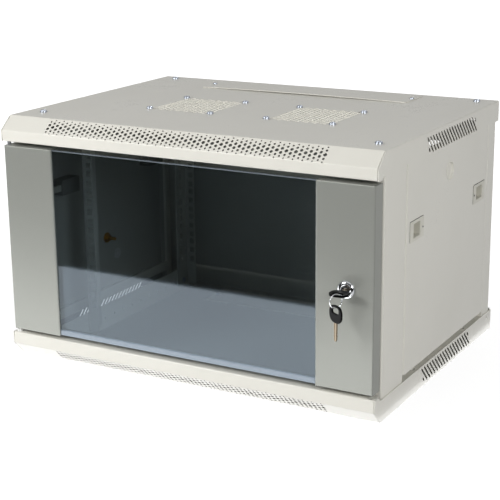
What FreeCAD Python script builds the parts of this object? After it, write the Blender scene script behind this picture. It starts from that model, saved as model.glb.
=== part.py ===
import FreeCAD, Part
import math
import os

# A six-unit 19-inch wall cabinet: a welded frame of folded posts, sills and braces between a
# roof cover and a floor tray, with lift-off side panels on sprung latches and a glass door.
# Millimetres. +X is right, -Y is the front, +Z is up; the origin is the middle of the base.

Vec = FreeCAD.Vector

# ---- driving dimensions ----
width = 600.0
depth = 450.0
height = 368.0
cover_sheet = 1.2           # roof, floor, panels and door are folded from this
frame_sheet = 1.5           # posts, sills and braces
rail_sheet = 2.0            # the four 19-inch rails
bend = 1.3                  # inside radius of every fold

front = -depth / 2
back = depth / 2
half = width / 2

# fascia: the slope and the lip along the front of the roof and of the floor
roof_run, roof_drop, roof_lip = 22.6, 19.1, 16.4
floor_run, floor_rise, floor_lip = 20.7, 20.5, 18.2
ledge_z_top = height - roof_drop - roof_lip
ledge_z_bottom = floor_rise + floor_lip
ledge_depth = 45.0          # how far a lip's inner ledge reaches back between the posts
ledge_end_depth = 18.0      # and beside the posts
skirt = 31.2                # height of the side skirts
rear_skirt = 35.0

# frame
post_x = 298.5
post_front = front + 24.0
post_deep = 72.0
post_flange_x = 270.0       # inner edge of the front flange that the lock cam catches
hook_x = 286.0              # lip of each post that the panel latches catch
hook_deep = 12.0
rear_post_front = front + 411.0
rear_post_back = front + 443.0
sill_top = 31.5
sill_flange = 15.5

# 19-inch rails (465.1 between hole columns, three holes in each 44.45 unit)
units = 6
unit = 44.45
unit_holes = (6.35, 22.225, 38.1)
hole_column_x = 465.1 / 2
rail_inner_x = 225.4
rail_outer_x = 244.4
rail_side = 33.0
square_hole = 9.5
rail_end = 11.5
front_rail_y = front + 116.0
rear_rail_y = front + 410.0
rail_bolt_z = 20.8
rail_bolt_back = 15.0       # from the rail's face to its bolt
brace_tall = 42.0
brace_foot_x = 261.5

# side panels and their latches
panel_x = 298.9
panel_front = front + 97.0
panel_rear = front + 410.2
panel_bottom = 41.0
panel_top = height - skirt - 0.4
panel_return = 10.0
panel_hooks = (front + 148.0, front + 347.0)
latch_z = 240.0
latch_ys = (front + 132.0, front + 375.0)
latch_seat = 9.5            # where the slider's spring bears, from the latch's middle
plug_y, plug_z, plug_r = front + 253.0, 297.0, 13.5

# door
door_half = 296.4
door_gap = 5.6
door_deep = 22.0
strip_wide = 84.5
door_bottom = ledge_z_bottom + door_gap
door_top = ledge_z_top - door_gap
glass_front = 3.0
glass_thick = 5.0
glass_half = 232.0
hinge_x, hinge_y = -291.0, front + 6.0
hinge_pin_r = 3.0
hinge_hole_r = 3.08
pin_guide_r = 3.35
lock_x = 257.0
lock_z = (door_bottom + door_top) / 2
ring_turn = math.radians(60.0)   # the key ring hangs in a plane turned this far from the door

# roof details
fan_centres = (-90.0, 108.0)
fan_y = front + 208.5
fan_screw_span = 105.0
cable_half, cable_front, cable_rear = 182.0, front + 365.0, front + 431.0
cable_bow = 1.4
corner_x = 274.0
corner_ys = (front + 57.0, front + 418.0)
wall_x, wall_z = 200.0, 110.0    # half spacing of the wall slots about the middle of the back


# ---- helpers ----
def box(x0, x1, y0, y1, z0, z1):
    return Part.makeBox(x1 - x0, y1 - y0, z1 - z0, Vec(x0, y0, z0))


def rod(r, start, along):
    start, along = Vec(*start), Vec(*along)
    return Part.makeCylinder(r, along.Length, start, along)


def mirrored(shape):
    return shape.mirror(Vec(0, 0, 0), Vec(1, 0, 0))


def flipped_up(shape):
    return shape.mirror(Vec(0, 0, height / 2), Vec(0, 0, 1))


def fused(shapes):
    return shapes[0].multiFuse(shapes[1:]).removeSplitter()


def plate(points, along):
    """A flat outline pushed along a vector."""
    return Part.Face(Part.makePolygon(points + points[:1])).extrude(Vec(*along))


def turned(centre, axis, profile, sides):
    """A turned piece with flat sides: rings at the profile's (height, radius) pairs, skinned.

    The radius is that of the circle inside each ring's flats.
    """
    axis = Vec(*axis)
    side = Vec(0, 0, 1) if abs(axis.z) < 0.5 else Vec(0, 1, 0)
    side = (side - axis * side.dot(axis)).normalize()
    other = axis.cross(side)
    rings = []
    for along, r in profile:
        reach = r / math.cos(math.pi / sides)
        turns = [2 * math.pi * (i + 0.5) / sides for i in range(sides)]
        rings.append([Vec(*centre) + axis * along + side * (reach * math.cos(a))
                      + other * (reach * math.sin(a)) for a in turns])
    faces = [rings[0], rings[-1]]
    for low, high in zip(rings, rings[1:]):
        faces += [[low[i - 1], low[i], high[i], high[i - 1]] for i in range(sides)]
    shell = Part.makeShell([Part.Face(Part.makePolygon(f + f[:1])) for f in faces])
    solid = Part.makeSolid(shell).removeSplitter()
    return solid if solid.Volume > 0 else solid.reversed()


def filleted(points, radii, facets=3):
    """The points with each inner corner of a stated radius cut into short chords of its arc."""
    out = [points[0]]
    for i in range(1, len(points) - 1):
        a = (points[i] - points[i - 1]).normalize()
        b = (points[i + 1] - points[i]).normalize()
        turn = a.getAngle(b)
        if radii[i] < 0.05 or turn < 0.01:
            out.append(points[i])
            continue
        centre = points[i] + (b - a).normalize() * (radii[i] / math.cos(turn / 2))
        start = points[i] - a * (radii[i] * math.tan(turn / 2)) - centre
        for k in range(facets + 1):
            step = turn * k / facets
            out.append(centre + start * math.cos(step) + a * (radii[i] * math.sin(step)))
    return out + [points[-1]]


def folded(path, thick, place, along, inside=bend):
    """A folded sheet: the path is its outer face, and the sheet lies to the path's left."""
    flat = [Vec(u, v, 0) for u, v in path]
    count = len(flat)
    normals = []
    for i in range(count - 1):
        d = (flat[i + 1] - flat[i]).normalize()
        normals.append(Vec(-d.y, d.x, 0))
    inner = [flat[0] + normals[0] * thick]
    outer_r, inner_r = [0.0] * count, [0.0] * count
    for i in range(1, count - 1):
        n1, n2 = normals[i - 1], normals[i]
        if inside:
            left_turn = n1.cross(n2).z > 0
            outer_r[i] = inside + thick if left_turn else inside
            inner_r[i] = inside if left_turn else inside + thick
        inner.append(flat[i] + (n1 + n2) * (thick / (1 + n1.dot(n2))))
    inner.append(flat[-1] + normals[-1] * thick)
    outline = filleted(flat, outer_r) + filleted(inner, inner_r)[::-1]
    return plate([place(p.x, p.y) for p in outline], along)


def plan(z):
    return lambda u, v: Vec(u, v, z)


def side_view(x):
    return lambda u, v: Vec(x, u, v)


def end_view(y):
    return lambda u, v: Vec(u, y, v)


screw_shank = 2.2
screw_hole = 2.5            # inside the flats of a clearance hole, which a head always covers


def pan_screw(head, up, head_r=4.4, head_h=2.6, shank=8.0):
    """A pan-head screw whose head sits on a point and whose shank runs the other way."""
    cap = turned(head, up, [(0, head_r), (head_h, head_r * 0.7)], 8)
    return cap.fuse(turned(head, up, [(-shank, screw_shank), (0.1, screw_shank)], 4))


def clear_holes(points, axis, r=screw_hole, deep=8.0, sides=4):
    return [turned(p, axis, [(-deep / 2, r), (deep / 2, r)], sides) for p in points]


# ---- perforation: the fascia's graded holes, the skirts' slanted slots, the fan fields ----
fascia_pitch = 14.0         # along a row; the rows are staggered by half of it
fascia_row = 3.45
fascia_columns = 32
fascia_hole = 1.7           # inside the flats; the finest outer rows are left off


def fascia_punch(upper, lower, rows):
    """Rows of holes down the middle of a slope between its two edges, seen end on."""
    down = Vec(0, lower[0] - upper[0], lower[1] - upper[1])
    middle = Vec(0, (upper[0] + lower[0]) / 2, (upper[1] + lower[1]) / 2)
    down.normalize()
    normal = Vec(1, 0, 0).cross(down)
    centres = []
    for row in rows:
        first = -fascia_pitch * (fascia_columns - 1) / 2 + (-3.5 if row else 3.5)
        centres += [middle + down * (fascia_row * row) + Vec(first + fascia_pitch * i, 0, 0)
                    for i in range(fascia_columns)]
    return clear_holes(centres, normal, fascia_hole, 6.0, 4)


slot_count, slot_pitch, slot_run, slot_wide = 18, 10.0, 21.0, 3.3
slot_first_y = front + 161.5


def skirt_slots(x, z_low):
    """Slots slanted at 45 degrees, and the short stub that ends each end of the row."""
    tools = []
    for i in range(-1, slot_count + 1):
        y = slot_first_y + slot_pitch * i
        z = z_low + slot_run
        start, end = 0.0, slot_run
        if i == -1:
            start, end = 15.0, 19.0
        if i == slot_count:
            start, end = 2.5, 6.5
        side = slot_wide / 2 * math.sqrt(0.5)
        corners = [(y + start + side, z - start + side), (y + start - side, z - start - side),
                   (y + end - side, z - end - side), (y + end + side, z - end + side)]
        tools.append(plate([Vec(x - 4, u, v) for u, v in corners], (8, 0, 0)))
    return tools


fan_hole, fan_columns, fan_rows, fan_step = 2.7, 4, 4, 24.0


def fan_punch(x):
    """A staggered field of holes over one fan place."""
    centres = []
    for i in range(fan_columns):
        for j in range(fan_rows):
            u = (i - (fan_columns - 1) / 2) * fan_step
            v = (j - (fan_rows - 1) / 2 + (0.25 if i % 2 else -0.25)) * fan_step
            centres.append((x + u, fan_y + v, height))
    return clear_holes(centres, (0, 0, 1), fan_hole, 6.0, 4)


def fan_screw_points():
    s = fan_screw_span / 2
    return [(x + sx * s, fan_y + sy * s, height) for x in fan_centres for sx in (-1, 1)
            for sy in (-1, 1)]


def roof_corner_points():
    return [(sx * corner_x, y, height) for sx in (-1, 1) for y in corner_ys]


def cable_screw_points(z):
    return [(sx * (cable_half - 9), (cable_front + cable_rear) / 2, z) for sx in (-1, 1)]


# ---- shells ----
def ledge_notches(z):
    return [box(min(s * 262, s * 301), max(s * 262, s * 301), front + ledge_end_depth,
                front + ledge_depth + 1, z - 2, z + 2) for s in (-1, 1)]


def hinge_holes(z):
    """The hinge's bearing on the left, and the spare hole for a door hung on the right."""
    return [rod(hinge_hole_r, (hinge_x, hinge_y, z - 4), (0, 0, 8))] + clear_holes(
        [(-hinge_x, hinge_y, z)], (0, 0, 1), 3.0)


def side_plate(outline, radii, x):
    corners = filleted([Vec(x, u, v) for u, v in outline], radii)
    return plate(corners, (cover_sheet, 0, 0))


def pan(path, skirt_ends):
    """Front-to-back folded skin closed by a plate at each side that follows its outline."""
    inner = half - cover_sheet
    skin = folded(path, cover_sheet, side_view(-inner), (2 * inner, 0, 0))
    outline = path[:-1] if skirt_ends[0] == "last" else path[1:]
    outline = outline + skirt_ends[1] if skirt_ends[0] == "last" else skirt_ends[1] + outline
    radii = [bend + cover_sheet if p in path[1:-1] else 0.0 for p in outline]
    return fused([skin] + [side_plate(outline, radii, x) for x in (-half, inner)])


def roof_cover():
    low = height - skirt
    path = [(back, low), (back, height), (front + roof_run, height), (front, height - roof_drop),
            (front, ledge_z_top), (front + ledge_depth, ledge_z_top)]
    shell = pan(path, ("last", [(front + ledge_end_depth - 6, ledge_z_top),
                                (front + ledge_end_depth, low)]))
    cuts = ledge_notches(ledge_z_top)
    cuts += fascia_punch((front + roof_run, height), (front, height - roof_drop), (-1, 0, 1))
    cuts += skirt_slots(half, low + 1.8) + skirt_slots(-half, low + 1.8)
    for x in fan_centres:
        cuts += fan_punch(x)
    cuts.append(box(-cable_half + 18, cable_half - 18, cable_front + 9, cable_rear - 9,
                    height - 4, height + 4))
    cuts += clear_holes(fan_screw_points() + roof_corner_points(), (0, 0, 1))
    cuts += clear_holes(cable_screw_points(height), (0, 0, 1))
    cuts += hinge_holes(ledge_z_top)
    return shell.cut(Part.makeCompound(cuts))


def floor_tray():
    path = [(front + ledge_depth, ledge_z_bottom), (front, ledge_z_bottom), (front, floor_rise),
            (front + floor_run, 0.0), (back, 0.0), (back, rear_skirt)]
    shell = pan(path, ("first", [(front + ledge_end_depth, skirt),
                                 (front + ledge_end_depth - 6, ledge_z_bottom)]))
    cuts = ledge_notches(ledge_z_bottom)
    cuts += fascia_punch((front, floor_rise), (front + floor_run, 0.0), (0,))
    cuts += skirt_slots(half, 7.2) + skirt_slots(-half, 7.2)
    cuts.append(box(-cable_half + 18, cable_half - 18, cable_front + 9, cable_rear - 9, -4, 4))
    cuts += clear_holes(cable_screw_points(0.0), (0, 0, 1))
    cuts += clear_holes([(s * corner_x, y, 0.0) for s in (-1, 1) for y in corner_ys], (0, 0, 1))
    cuts += hinge_holes(ledge_z_bottom)
    return shell.cut(Part.makeCompound(cuts))


def cable_cover_roof():
    """A thin plate that bows up a little between its two screws."""
    steps = [cable_half * k / 5 for k in range(-5, 6)]
    lower = [Vec(x, cable_front, height + bow_height(x)) for x in steps]
    upper = [p + Vec(0, 0, cover_sheet) for p in lower]
    sheet = plate(lower + upper[::-1], (0, cable_rear - cable_front, 0))
    return sheet.cut(Part.makeCompound(clear_holes(cable_screw_points(height), (0, 0, 1))))


def bow_height(x):
    return cable_bow * (1 - (x / cable_half) ** 2)


def cable_cover_floor():
    z = cover_sheet
    sheet = box(-cable_half, cable_half, cable_front, cable_rear, z, z + cover_sheet)
    return sheet.cut(Part.makeCompound(clear_holes(cable_screw_points(z), (0, 0, 1))))


def fan_blanks():
    z = height - cover_sheet
    size = fan_screw_span / 2 + 7
    plates = []
    for x in fan_centres:
        blank = box(x - size, x + size, fan_y - size, fan_y + size, z - 1.0, z)
        plates.append(blank.cut(Part.makeCompound(clear_holes(fan_screw_points(), (0, 0, 1)))))
    return Part.makeCompound(plates)


# ---- frame ----
def post(path, y_tab, z0=cover_sheet, z1=height - cover_sheet):
    """A folded post with a tab across each end that takes a corner screw."""
    shape = folded(path, frame_sheet, plan(z0), (0, 0, z1 - z0))
    tabs = [box(262, post_x - 1, y_tab - 11, y_tab + 11, z, z + frame_sheet)
            for z in (z0, z1 - frame_sheet)]
    holes = clear_holes([(corner_x, y_tab, z0), (corner_x, y_tab, z1)], (0, 0, 1))
    return fused([shape] + tabs).cut(Part.makeCompound(holes))


def front_post():
    y0, y1 = post_front, post_front + post_deep
    return post([(post_flange_x, y0), (post_x, y0), (post_x, y1), (hook_x, y1),
                 (hook_x, y1 - hook_deep)], corner_ys[0])


def rear_post():
    y0, y1 = rear_post_front, rear_post_back
    return post([(hook_x, y0 + hook_deep), (hook_x, y0), (post_x, y0), (post_x, y1),
                 (hook_x - 11, y1)], corner_ys[1])


def lower_sill():
    """An angle under the panel's foot, with two slots for the hooks of the panel."""
    y0, y1 = post_front + post_deep + 0.3, rear_post_front - 0.3
    path = [(hook_x - 2, sill_top + sill_flange), (hook_x - 2, sill_top), (post_x, sill_top)]
    angle = folded(path[::-1], frame_sheet, end_view(y0), (0, y1 - y0, 0), 0)
    slots = [box(hook_x + 2, hook_x + 8, y - 6, y + 6, sill_top - 4, sill_top + 4)
             for y in panel_hooks]
    return angle.cut(Part.makeCompound(slots))


def lower_brace():
    """An angle that stands on the floor and carries the feet of two rails."""
    y0, y1 = front + 50, rear_post_back - 3
    path = [(brace_foot_x, cover_sheet), (rail_outer_x, cover_sheet), (rail_outer_x, brace_tall)]
    angle = folded(path[::-1], frame_sheet, end_view(y0), (0, y1 - y0, 0), 0)
    bolts = [(rail_outer_x, front_rail_y + rail_bolt_back, rail_bolt_z),
             (rail_outer_x, rear_rail_y - rail_bolt_back, rail_bolt_z)]
    return angle.cut(Part.makeCompound(clear_holes(bolts, (1, 0, 0))))


def rail_hole_heights():
    first = (height - units * unit) / 2
    return [first + unit * n + z for n in range(units) for z in unit_holes]


def front_rail():
    """A 19-inch rail: square cage-nut holes in its face, and a side that bolts to the braces."""
    y = front_rail_y
    shape = folded([(rail_inner_x, y), (rail_outer_x, y), (rail_outer_x, y + rail_side)],
                   rail_sheet, plan(rail_end), (0, 0, height - 2 * rail_end), 0)
    s = square_hole / 2
    cuts = [box(hole_column_x - s, hole_column_x + s, y - 3, y + 4, z - s, z + s)
            for z in rail_hole_heights()]
    bolts = [(rail_outer_x, y + rail_bolt_back, z) for z in (rail_bolt_z, height - rail_bolt_z)]
    return shape.cut(Part.makeCompound(cuts + clear_holes(bolts, (1, 0, 0))))


def rear_rail():
    middle = (front_rail_y + rear_rail_y) / 2
    return front_rail().mirror(Vec(0, middle, 0), Vec(0, 1, 0))


def rail_screws():
    screws = []
    for side in (-1, 1):
        for y in (front_rail_y + rail_bolt_back, rear_rail_y - rail_bolt_back):
            for z in (rail_bolt_z, height - rail_bolt_z):
                head = (side * (rail_outer_x - rail_sheet), y, z)
                screws.append(pan_screw(head, (-side, 0, 0), 4.4, 2.4, 6.0))
    return Part.makeCompound(screws)


def rear_panel():
    y = rear_post_back
    sheet = box(-290, 290, y, y + cover_sheet, rear_skirt + 1.2, height - skirt - 0.8)
    cuts = []
    for sx in (-1, 1):
        for sz in (-1, 1):
            x, z = sx * wall_x, height / 2 + sz * wall_z
            cuts.append(fused([box(x - 5, x + 5, y - 3, y + 4, z - 5, z + 5),
                               rod(5.0, (x - 5, y - 3, z), (0, 7, 0)),
                               rod(5.0, (x + 5, y - 3, z), (0, 7, 0))]))
    cuts += clear_holes(rear_screw_points(), (0, 1, 0))
    return sheet.cut(Part.makeCompound(cuts))


def rear_screw_points():
    return [(sx * 281.0, rear_post_back + cover_sheet, z) for sx in (-1, 1)
            for z in (62.0, height - 62.0)]


def rear_panel_screws():
    return Part.makeCompound([pan_screw(p, (0, 1, 0), 4.0, 2.0, 7.0)
                              for p in rear_screw_points()])


def bored_rear_post():
    holes = clear_holes([p for p in rear_screw_points() if p[0] > 0], (0, 1, 0))
    return rear_post().cut(Part.makeCompound(holes))


# ---- side panels ----
def side_panel():
    x0, x1 = panel_x - panel_return, panel_x
    y0, y1 = panel_front, panel_rear
    z0, z1 = panel_bottom, panel_top
    skin = folded([(x0, y0), (x1, y0), (x1, y1), (x0, y1)], cover_sheet, plan(z0),
                  (0, 0, z1 - z0), 1.8)
    t = cover_sheet
    ends = [box(x0, x1 - t, y0 + t, y1 - t, z, z + t) for z in (z0, z1 - t)]
    hooks = [box(hook_x + 4, hook_x + 4 + t, y - 4, y + 4, sill_top - 5, z0 + t)
             for y in panel_hooks]
    cuts = [box(x1 - 4, x1 + 4, y - 20.2, y + 23.2, latch_z - 12.2, latch_z + 12.2)
            for y in (latch_ys[0],)]
    cuts += [box(x1 - 4, x1 + 4, y - 23.2, y + 20.2, latch_z - 12.2, latch_z + 12.2)
             for y in (latch_ys[1],)]
    cuts += clear_holes([(x1, plug_y, plug_z)], (1, 0, 0), plug_r, 12.0, 12)
    return fused([skin] + ends + hooks).cut(Part.makeCompound(cuts))


def lock_hole_plugs():
    """Snap-in dished caps that close the lock hole of each side panel."""
    cap = turned((panel_x, plug_y, plug_z), (1, 0, 0),
                 [(-4.0, plug_r - 0.4), (0, plug_r - 0.3), (0, plug_r + 1.5), (0.8, plug_r + 1.2)], 12)
    dish = turned((panel_x, plug_y, plug_z), (1, 0, 0),
                  [(-2.8, plug_r - 4.5), (0.2, plug_r - 1.7), (2.0, plug_r - 1.7)], 12)
    cap = cap.cut(dish)
    return Part.makeCompound([cap, mirrored(cap)])


def latch_housing():
    """Plate, box and raised bridge; local x is depth from the panel's face, y the travel."""
    flange = box(0, 0.8, -24, 24, -14.5, 14.5)
    block = box(-19.9, 0.0, -20, 23, -12, 12)
    room = box(-18.4, 0.0, -18, 21.5, -10.5, 10.5)
    window = box(-1, 1, -12.5, 12.0, -10, 10)
    bolt_way = box(-17.8, -12.9, -21, -17, -5.5, 5.5)
    crown = plate([Vec(0.8, 13.5, -14.5), Vec(1.1, 16.5, -14.5), Vec(1.1, 21.0, -14.5),
                   Vec(0.8, 24.0, -14.5)], (0, 0, 29))
    body = block.cut(Part.makeCompound([room, bolt_way]))
    return fused([flange, body, crown]).cut(window)


def latch_slider():
    """Finger cup on a block, with the bolt that runs behind the post's hook lip."""
    cup = box(-11, -0.3, -14.5, 13.5, -10.2, 10.2)
    well = box(-9.5, 2, -12.5, 11.5, -9.2, 9.2)
    block = box(-17.2, -11, -9, latch_seat, -8, 8)
    bolt = box(-17.2, -13.4, -41, -9, -5, 5)
    return fused([cup.cut(well), block, bolt])


def latch_spring():
    start = (-14.4, latch_seat, 0)
    tube = turned(start, (0, 1, 0), [(0, 2.8), (12.0, 2.8)], 8)
    return tube.cut(turned(start, (0, 1, 0), [(-1, 2.1), (13.0, 2.1)], 8))


def placed_latch(shape, side, end):
    """Local latch shape put at one of the four places; end 0 is front and 1 is rear."""
    if end == 1:
        shape = shape.mirror(Vec(0, 0, 0), Vec(0, 1, 0))
    shape = shape.translated(Vec(panel_x, latch_ys[end], latch_z))
    return mirrored(shape) if side < 0 else shape


# ---- earth point on the inside of the left panel ----
earth_y, earth_z = front + 248.0, 126.0
panel_inner = panel_x - cover_sheet


def earth_stud():
    """Stud with a shoulder under the nut and a free end for a ring terminal."""
    root = turned((-panel_inner, earth_y, earth_z), (1, 0, 0), [(0, 3.0), (6.2, 3.0)], 6)
    return root.fuse(rod(2.9, (-panel_inner + 6.2, earth_y, earth_z), (10.8, 0, 0)))


def earth_nut():
    centre = (-panel_inner, earth_y, earth_z)
    nut = turned(centre, (1, 0, 0), [(1.2, 5.0), (6.0, 5.0)], 6)
    washer = turned(centre, (1, 0, 0), [(0, 8.5), (1.2, 8.5)], 12)
    return washer.fuse(nut).cut(turned(centre, (1, 0, 0), [(-1, 3.02), (8, 3.02)], 6))


# ---- door ----
def door_strip():
    """The right-hand strip: folded face with an outer and a short inner return."""
    x_in = door_half - strip_wide
    path = [(x_in, front + glass_front), (x_in, front), (door_half, front),
            (door_half, front + door_deep)]
    skin = folded(path, cover_sheet, plan(door_bottom), (0, 0, door_top - door_bottom), 0.8)
    t = cover_sheet
    ends = [box(x_in + t, door_half - t, front + t, front + door_deep, z, z + t)
            for z in (door_bottom, door_top - t)]
    return fused([skin] + ends)


def lock_strip():
    return door_strip().cut(clear_holes([(lock_x, front, lock_z)], (0, 1, 0), barrel_r, 6, 12)[0])


spring_low, spring_high = door_top - 23.0, door_top - 4.5


def hinge_strip():
    """The left-hand strip, with the bracket that guides the upper hinge pin."""
    t = cover_sheet
    bracket = box(-door_half + t, hinge_x + 9, front + t, hinge_y + 7, spring_low - 1.5, spring_low)
    shell = fused([mirrored(door_strip()), bracket])
    middle = (hinge_x, hinge_y, lock_z)
    return shell.cut(clear_holes([middle], (0, 0, 1), pin_guide_r, height, 8)[0])


def door_glass():
    return box(-glass_half, glass_half, front + glass_front, front + glass_front + glass_thick,
               door_bottom + 1.5, door_top - 1.5)


def glass_seals():
    """Foam strips between each steel strip and the pane."""
    x1 = door_half - strip_wide + cover_sheet + 0.8
    seal = box(x1, glass_half, front + cover_sheet, front + glass_front, door_bottom + 4,
               door_top - 4)
    return Part.makeCompound([seal, mirrored(seal)])


def glass_retainers():
    """Z-folded strips that hold the pane's side edges from behind."""
    y0 = front + cover_sheet
    y1 = front + glass_front + glass_thick
    x = glass_half + 1.0
    path = [(x + 10, y0 + cover_sheet), (x + cover_sheet, y0 + cover_sheet),
            (x + cover_sheet, y1 + cover_sheet), (x - 12, y1 + cover_sheet)]
    clip = folded(path, cover_sheet, plan(door_bottom + 8),
                  (0, 0, door_top - door_bottom - 16), 0)
    return Part.makeCompound([clip, mirrored(clip)])


def upper_hinge_pin():
    """Sprung pin with a collar under the strip's top and an arm to pull it down by."""
    tip = ledge_z_top + 4.0
    low = spring_low - 7.0
    shank = rod(hinge_pin_r, (hinge_x, hinge_y, low), (0, 0, tip - low))
    collar = turned((hinge_x, hinge_y, spring_high), (0, 0, 1), [(0, 3.8), (3.0, 3.8)], 8)
    arm = box(hinge_x, hinge_x + 24, hinge_y - 2.5, hinge_y + 2.5, low, low + 2.5)
    return fused([shank, collar, arm])


def upper_hinge_spring():
    low = (hinge_x, hinge_y, spring_low)
    rise = spring_high - spring_low
    coil = turned(low, (0, 0, 1), [(0, 3.8), (rise, 3.8)], 8)
    return coil.cut(turned(low, (0, 0, 1), [(-1, pin_guide_r), (rise + 1, pin_guide_r)], 8))


def lower_hinge_pin():
    low = ledge_z_bottom - 4.5
    collar_z = door_bottom + cover_sheet
    shank = rod(hinge_pin_r, (hinge_x, hinge_y, low), (0, 0, collar_z - low + 2))
    return shank.fuse(turned((hinge_x, hinge_y, collar_z), (0, 0, 1), [(0, 3.9), (5.0, 3.9)], 8))


def lower_hinge_bush():
    low = (hinge_x, hinge_y, ledge_z_bottom)
    high = door_gap - 0.4
    washer = turned(low, (0, 0, 1), [(0, 4.5), (high, 4.5)], 12)
    return washer.cut(turned(low, (0, 0, 1), [(-1, pin_guide_r), (high + 1, pin_guide_r)], 12))


# ---- cam lock and keys ----
bezel_r, bezel_proud = 12.5, 4.0
barrel_r, plug_rad = 9.3, 6.0
plug_end = front + 26.6
cam_thick, cam_long, cam_wide = 2.0, 30.0, 15.0
blade_wide, blade_thick, blade_in = 7.0, 2.2, 24.0
bow_wide, bow_long, bow_thick = 27.0, 24.0, 3.0
bow_bar, bow_slot, bow_slot_wide = 2.6, 8.4, 15.0
bow_near = front - 8.0
ring_r, wire_r = 9.5, 0.75
ring_play = 0.5                    # between the wire and a bow's bar


def lock_barrel():
    """Domed bezel and threaded body, bored for the plug."""
    body = turned((lock_x, front, lock_z), (0, 1, 0),
                  [(-bezel_proud, 8.6), (-bezel_proud + 0.6, 10.4), (-1.6, 12.0), (0, bezel_r),
                   (0, barrel_r - 0.1), (25.0, barrel_r - 0.1)], 12)
    bore = rod(plug_rad + 0.06, (lock_x, front - 10, lock_z), (0, 50, 0))
    return body.cut(bore)


def lock_nut():
    middle = (lock_x, front + cover_sheet + 2, lock_z)
    nut = turned(middle, (0, 1, 0), [(-2, 11.6), (2, 11.6)], 6)
    return nut.cut(clear_holes([middle], (0, 1, 0), barrel_r, 6, 12)[0])


def lock_plug():
    start = front - bezel_proud + 0.9
    body = rod(plug_rad, (lock_x, start, lock_z), (0, plug_end - start, 0))
    keyway = box(lock_x - 3.8, lock_x + 3.8, start - 1, front + 18.0, lock_z - 1.4, lock_z + 1.4)
    return body.cut(keyway)


def lock_cam():
    """Flat arm that hangs down when unlocked and points to the post when locked."""
    w, low = cam_wide / 2, lock_z - cam_long
    outline = [(0, w), (w, w), (w, low - lock_z), (-w, low - lock_z), (-w, w), (0, w)]
    corners = filleted([Vec(lock_x + u, plug_end, lock_z + v) for u, v in outline],
                       [0, w - 0.1, w - 0.1, w - 0.1, w - 0.1, 0])
    return plate(corners[:-1], (0, cam_thick, 0)).cut(
        clear_holes([(lock_x, plug_end, lock_z)], (0, 1, 0))[0])


def cam_screw():
    head = (lock_x, plug_end + cam_thick, lock_z)
    return pan_screw(head, (0, 1, 0), 5.0, 2.6, cam_thick)


def key_blade():
    """Flat blade with a stepped tip, lying in the plug's keyway along +Y."""
    w, t = blade_wide / 2, blade_thick / 2
    tip = front - 7.5 + blade_in
    outline = [(-w, bow_near), (w, bow_near), (w, tip - 7), (w - 1.2, tip - 5.5),
               (w - 0.4, tip - 4), (1.0, tip), (-1.6, tip), (-w, tip - 3)]
    return plate([Vec(lock_x + u, v, lock_z - t) for u, v in outline], (0, 0, blade_thick))


def key_bow():
    """Rounded plastic grip in the horizontal plane, with a slot for the ring at its far end."""
    far = bow_near - bow_long
    z = lock_z - bow_thick / 2
    corner = [(-5, bow_near), (-bow_wide / 2, bow_near - 8), (-bow_wide / 2 + 1.5, far + 5),
              (-6, far), (6, far), (bow_wide / 2 - 1.5, far + 5), (bow_wide / 2, bow_near - 8),
              (5, bow_near)]
    corners = filleted([Vec(lock_x + u, v, z) for u, v in corner],
                       [0, 5.0, 6.0, 4.5, 4.5, 6.0, 5.0, 0])
    grip = plate(corners, (0, 0, bow_thick))
    y0 = far + bow_bar
    slot = box(lock_x - bow_slot_wide / 2, lock_x + bow_slot_wide / 2, y0, y0 + bow_slot,
               z - 1, z + 5)
    return grip.cut(slot)


def ring_frame():
    """Middle of the key ring and the horizontal direction that lies in its plane."""
    along = Vec(math.cos(ring_turn), math.sin(ring_turn), 0)
    bar_y = bow_near - bow_long + bow_bar / 2
    top = lock_z + bow_thick / 2 + wire_r + ring_play
    return Vec(lock_x, bar_y, top - ring_r), along


def key_ring():
    centre, along = ring_frame()
    normal = along.cross(Vec(0, 0, 1))
    outer = turned(centre, normal, [(-wire_r, ring_r + wire_r), (wire_r, ring_r + wire_r)], 18)
    return outer.cut(turned(centre, normal, [(-2, ring_r - wire_r), (2, ring_r - wire_r)], 18))


def hung_key(shape):
    """The key of the lock turned blade down and hooked over the bottom of the ring."""
    centre, along = ring_frame()
    bar_inner = bow_near - bow_long + bow_bar
    shape = shape.translated(Vec(-lock_x, -bar_inner, -lock_z))
    shape.rotate(Vec(0, 0, 0), Vec(1, 0, 0), -90)
    shape.rotate(Vec(0, 0, 0), Vec(0, 0, 1), math.degrees(ring_turn) - 90)
    foot = centre - Vec(0, 0, ring_r)
    return shape.translated(foot + Vec(0, 0, wire_r + ring_play))


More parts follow.
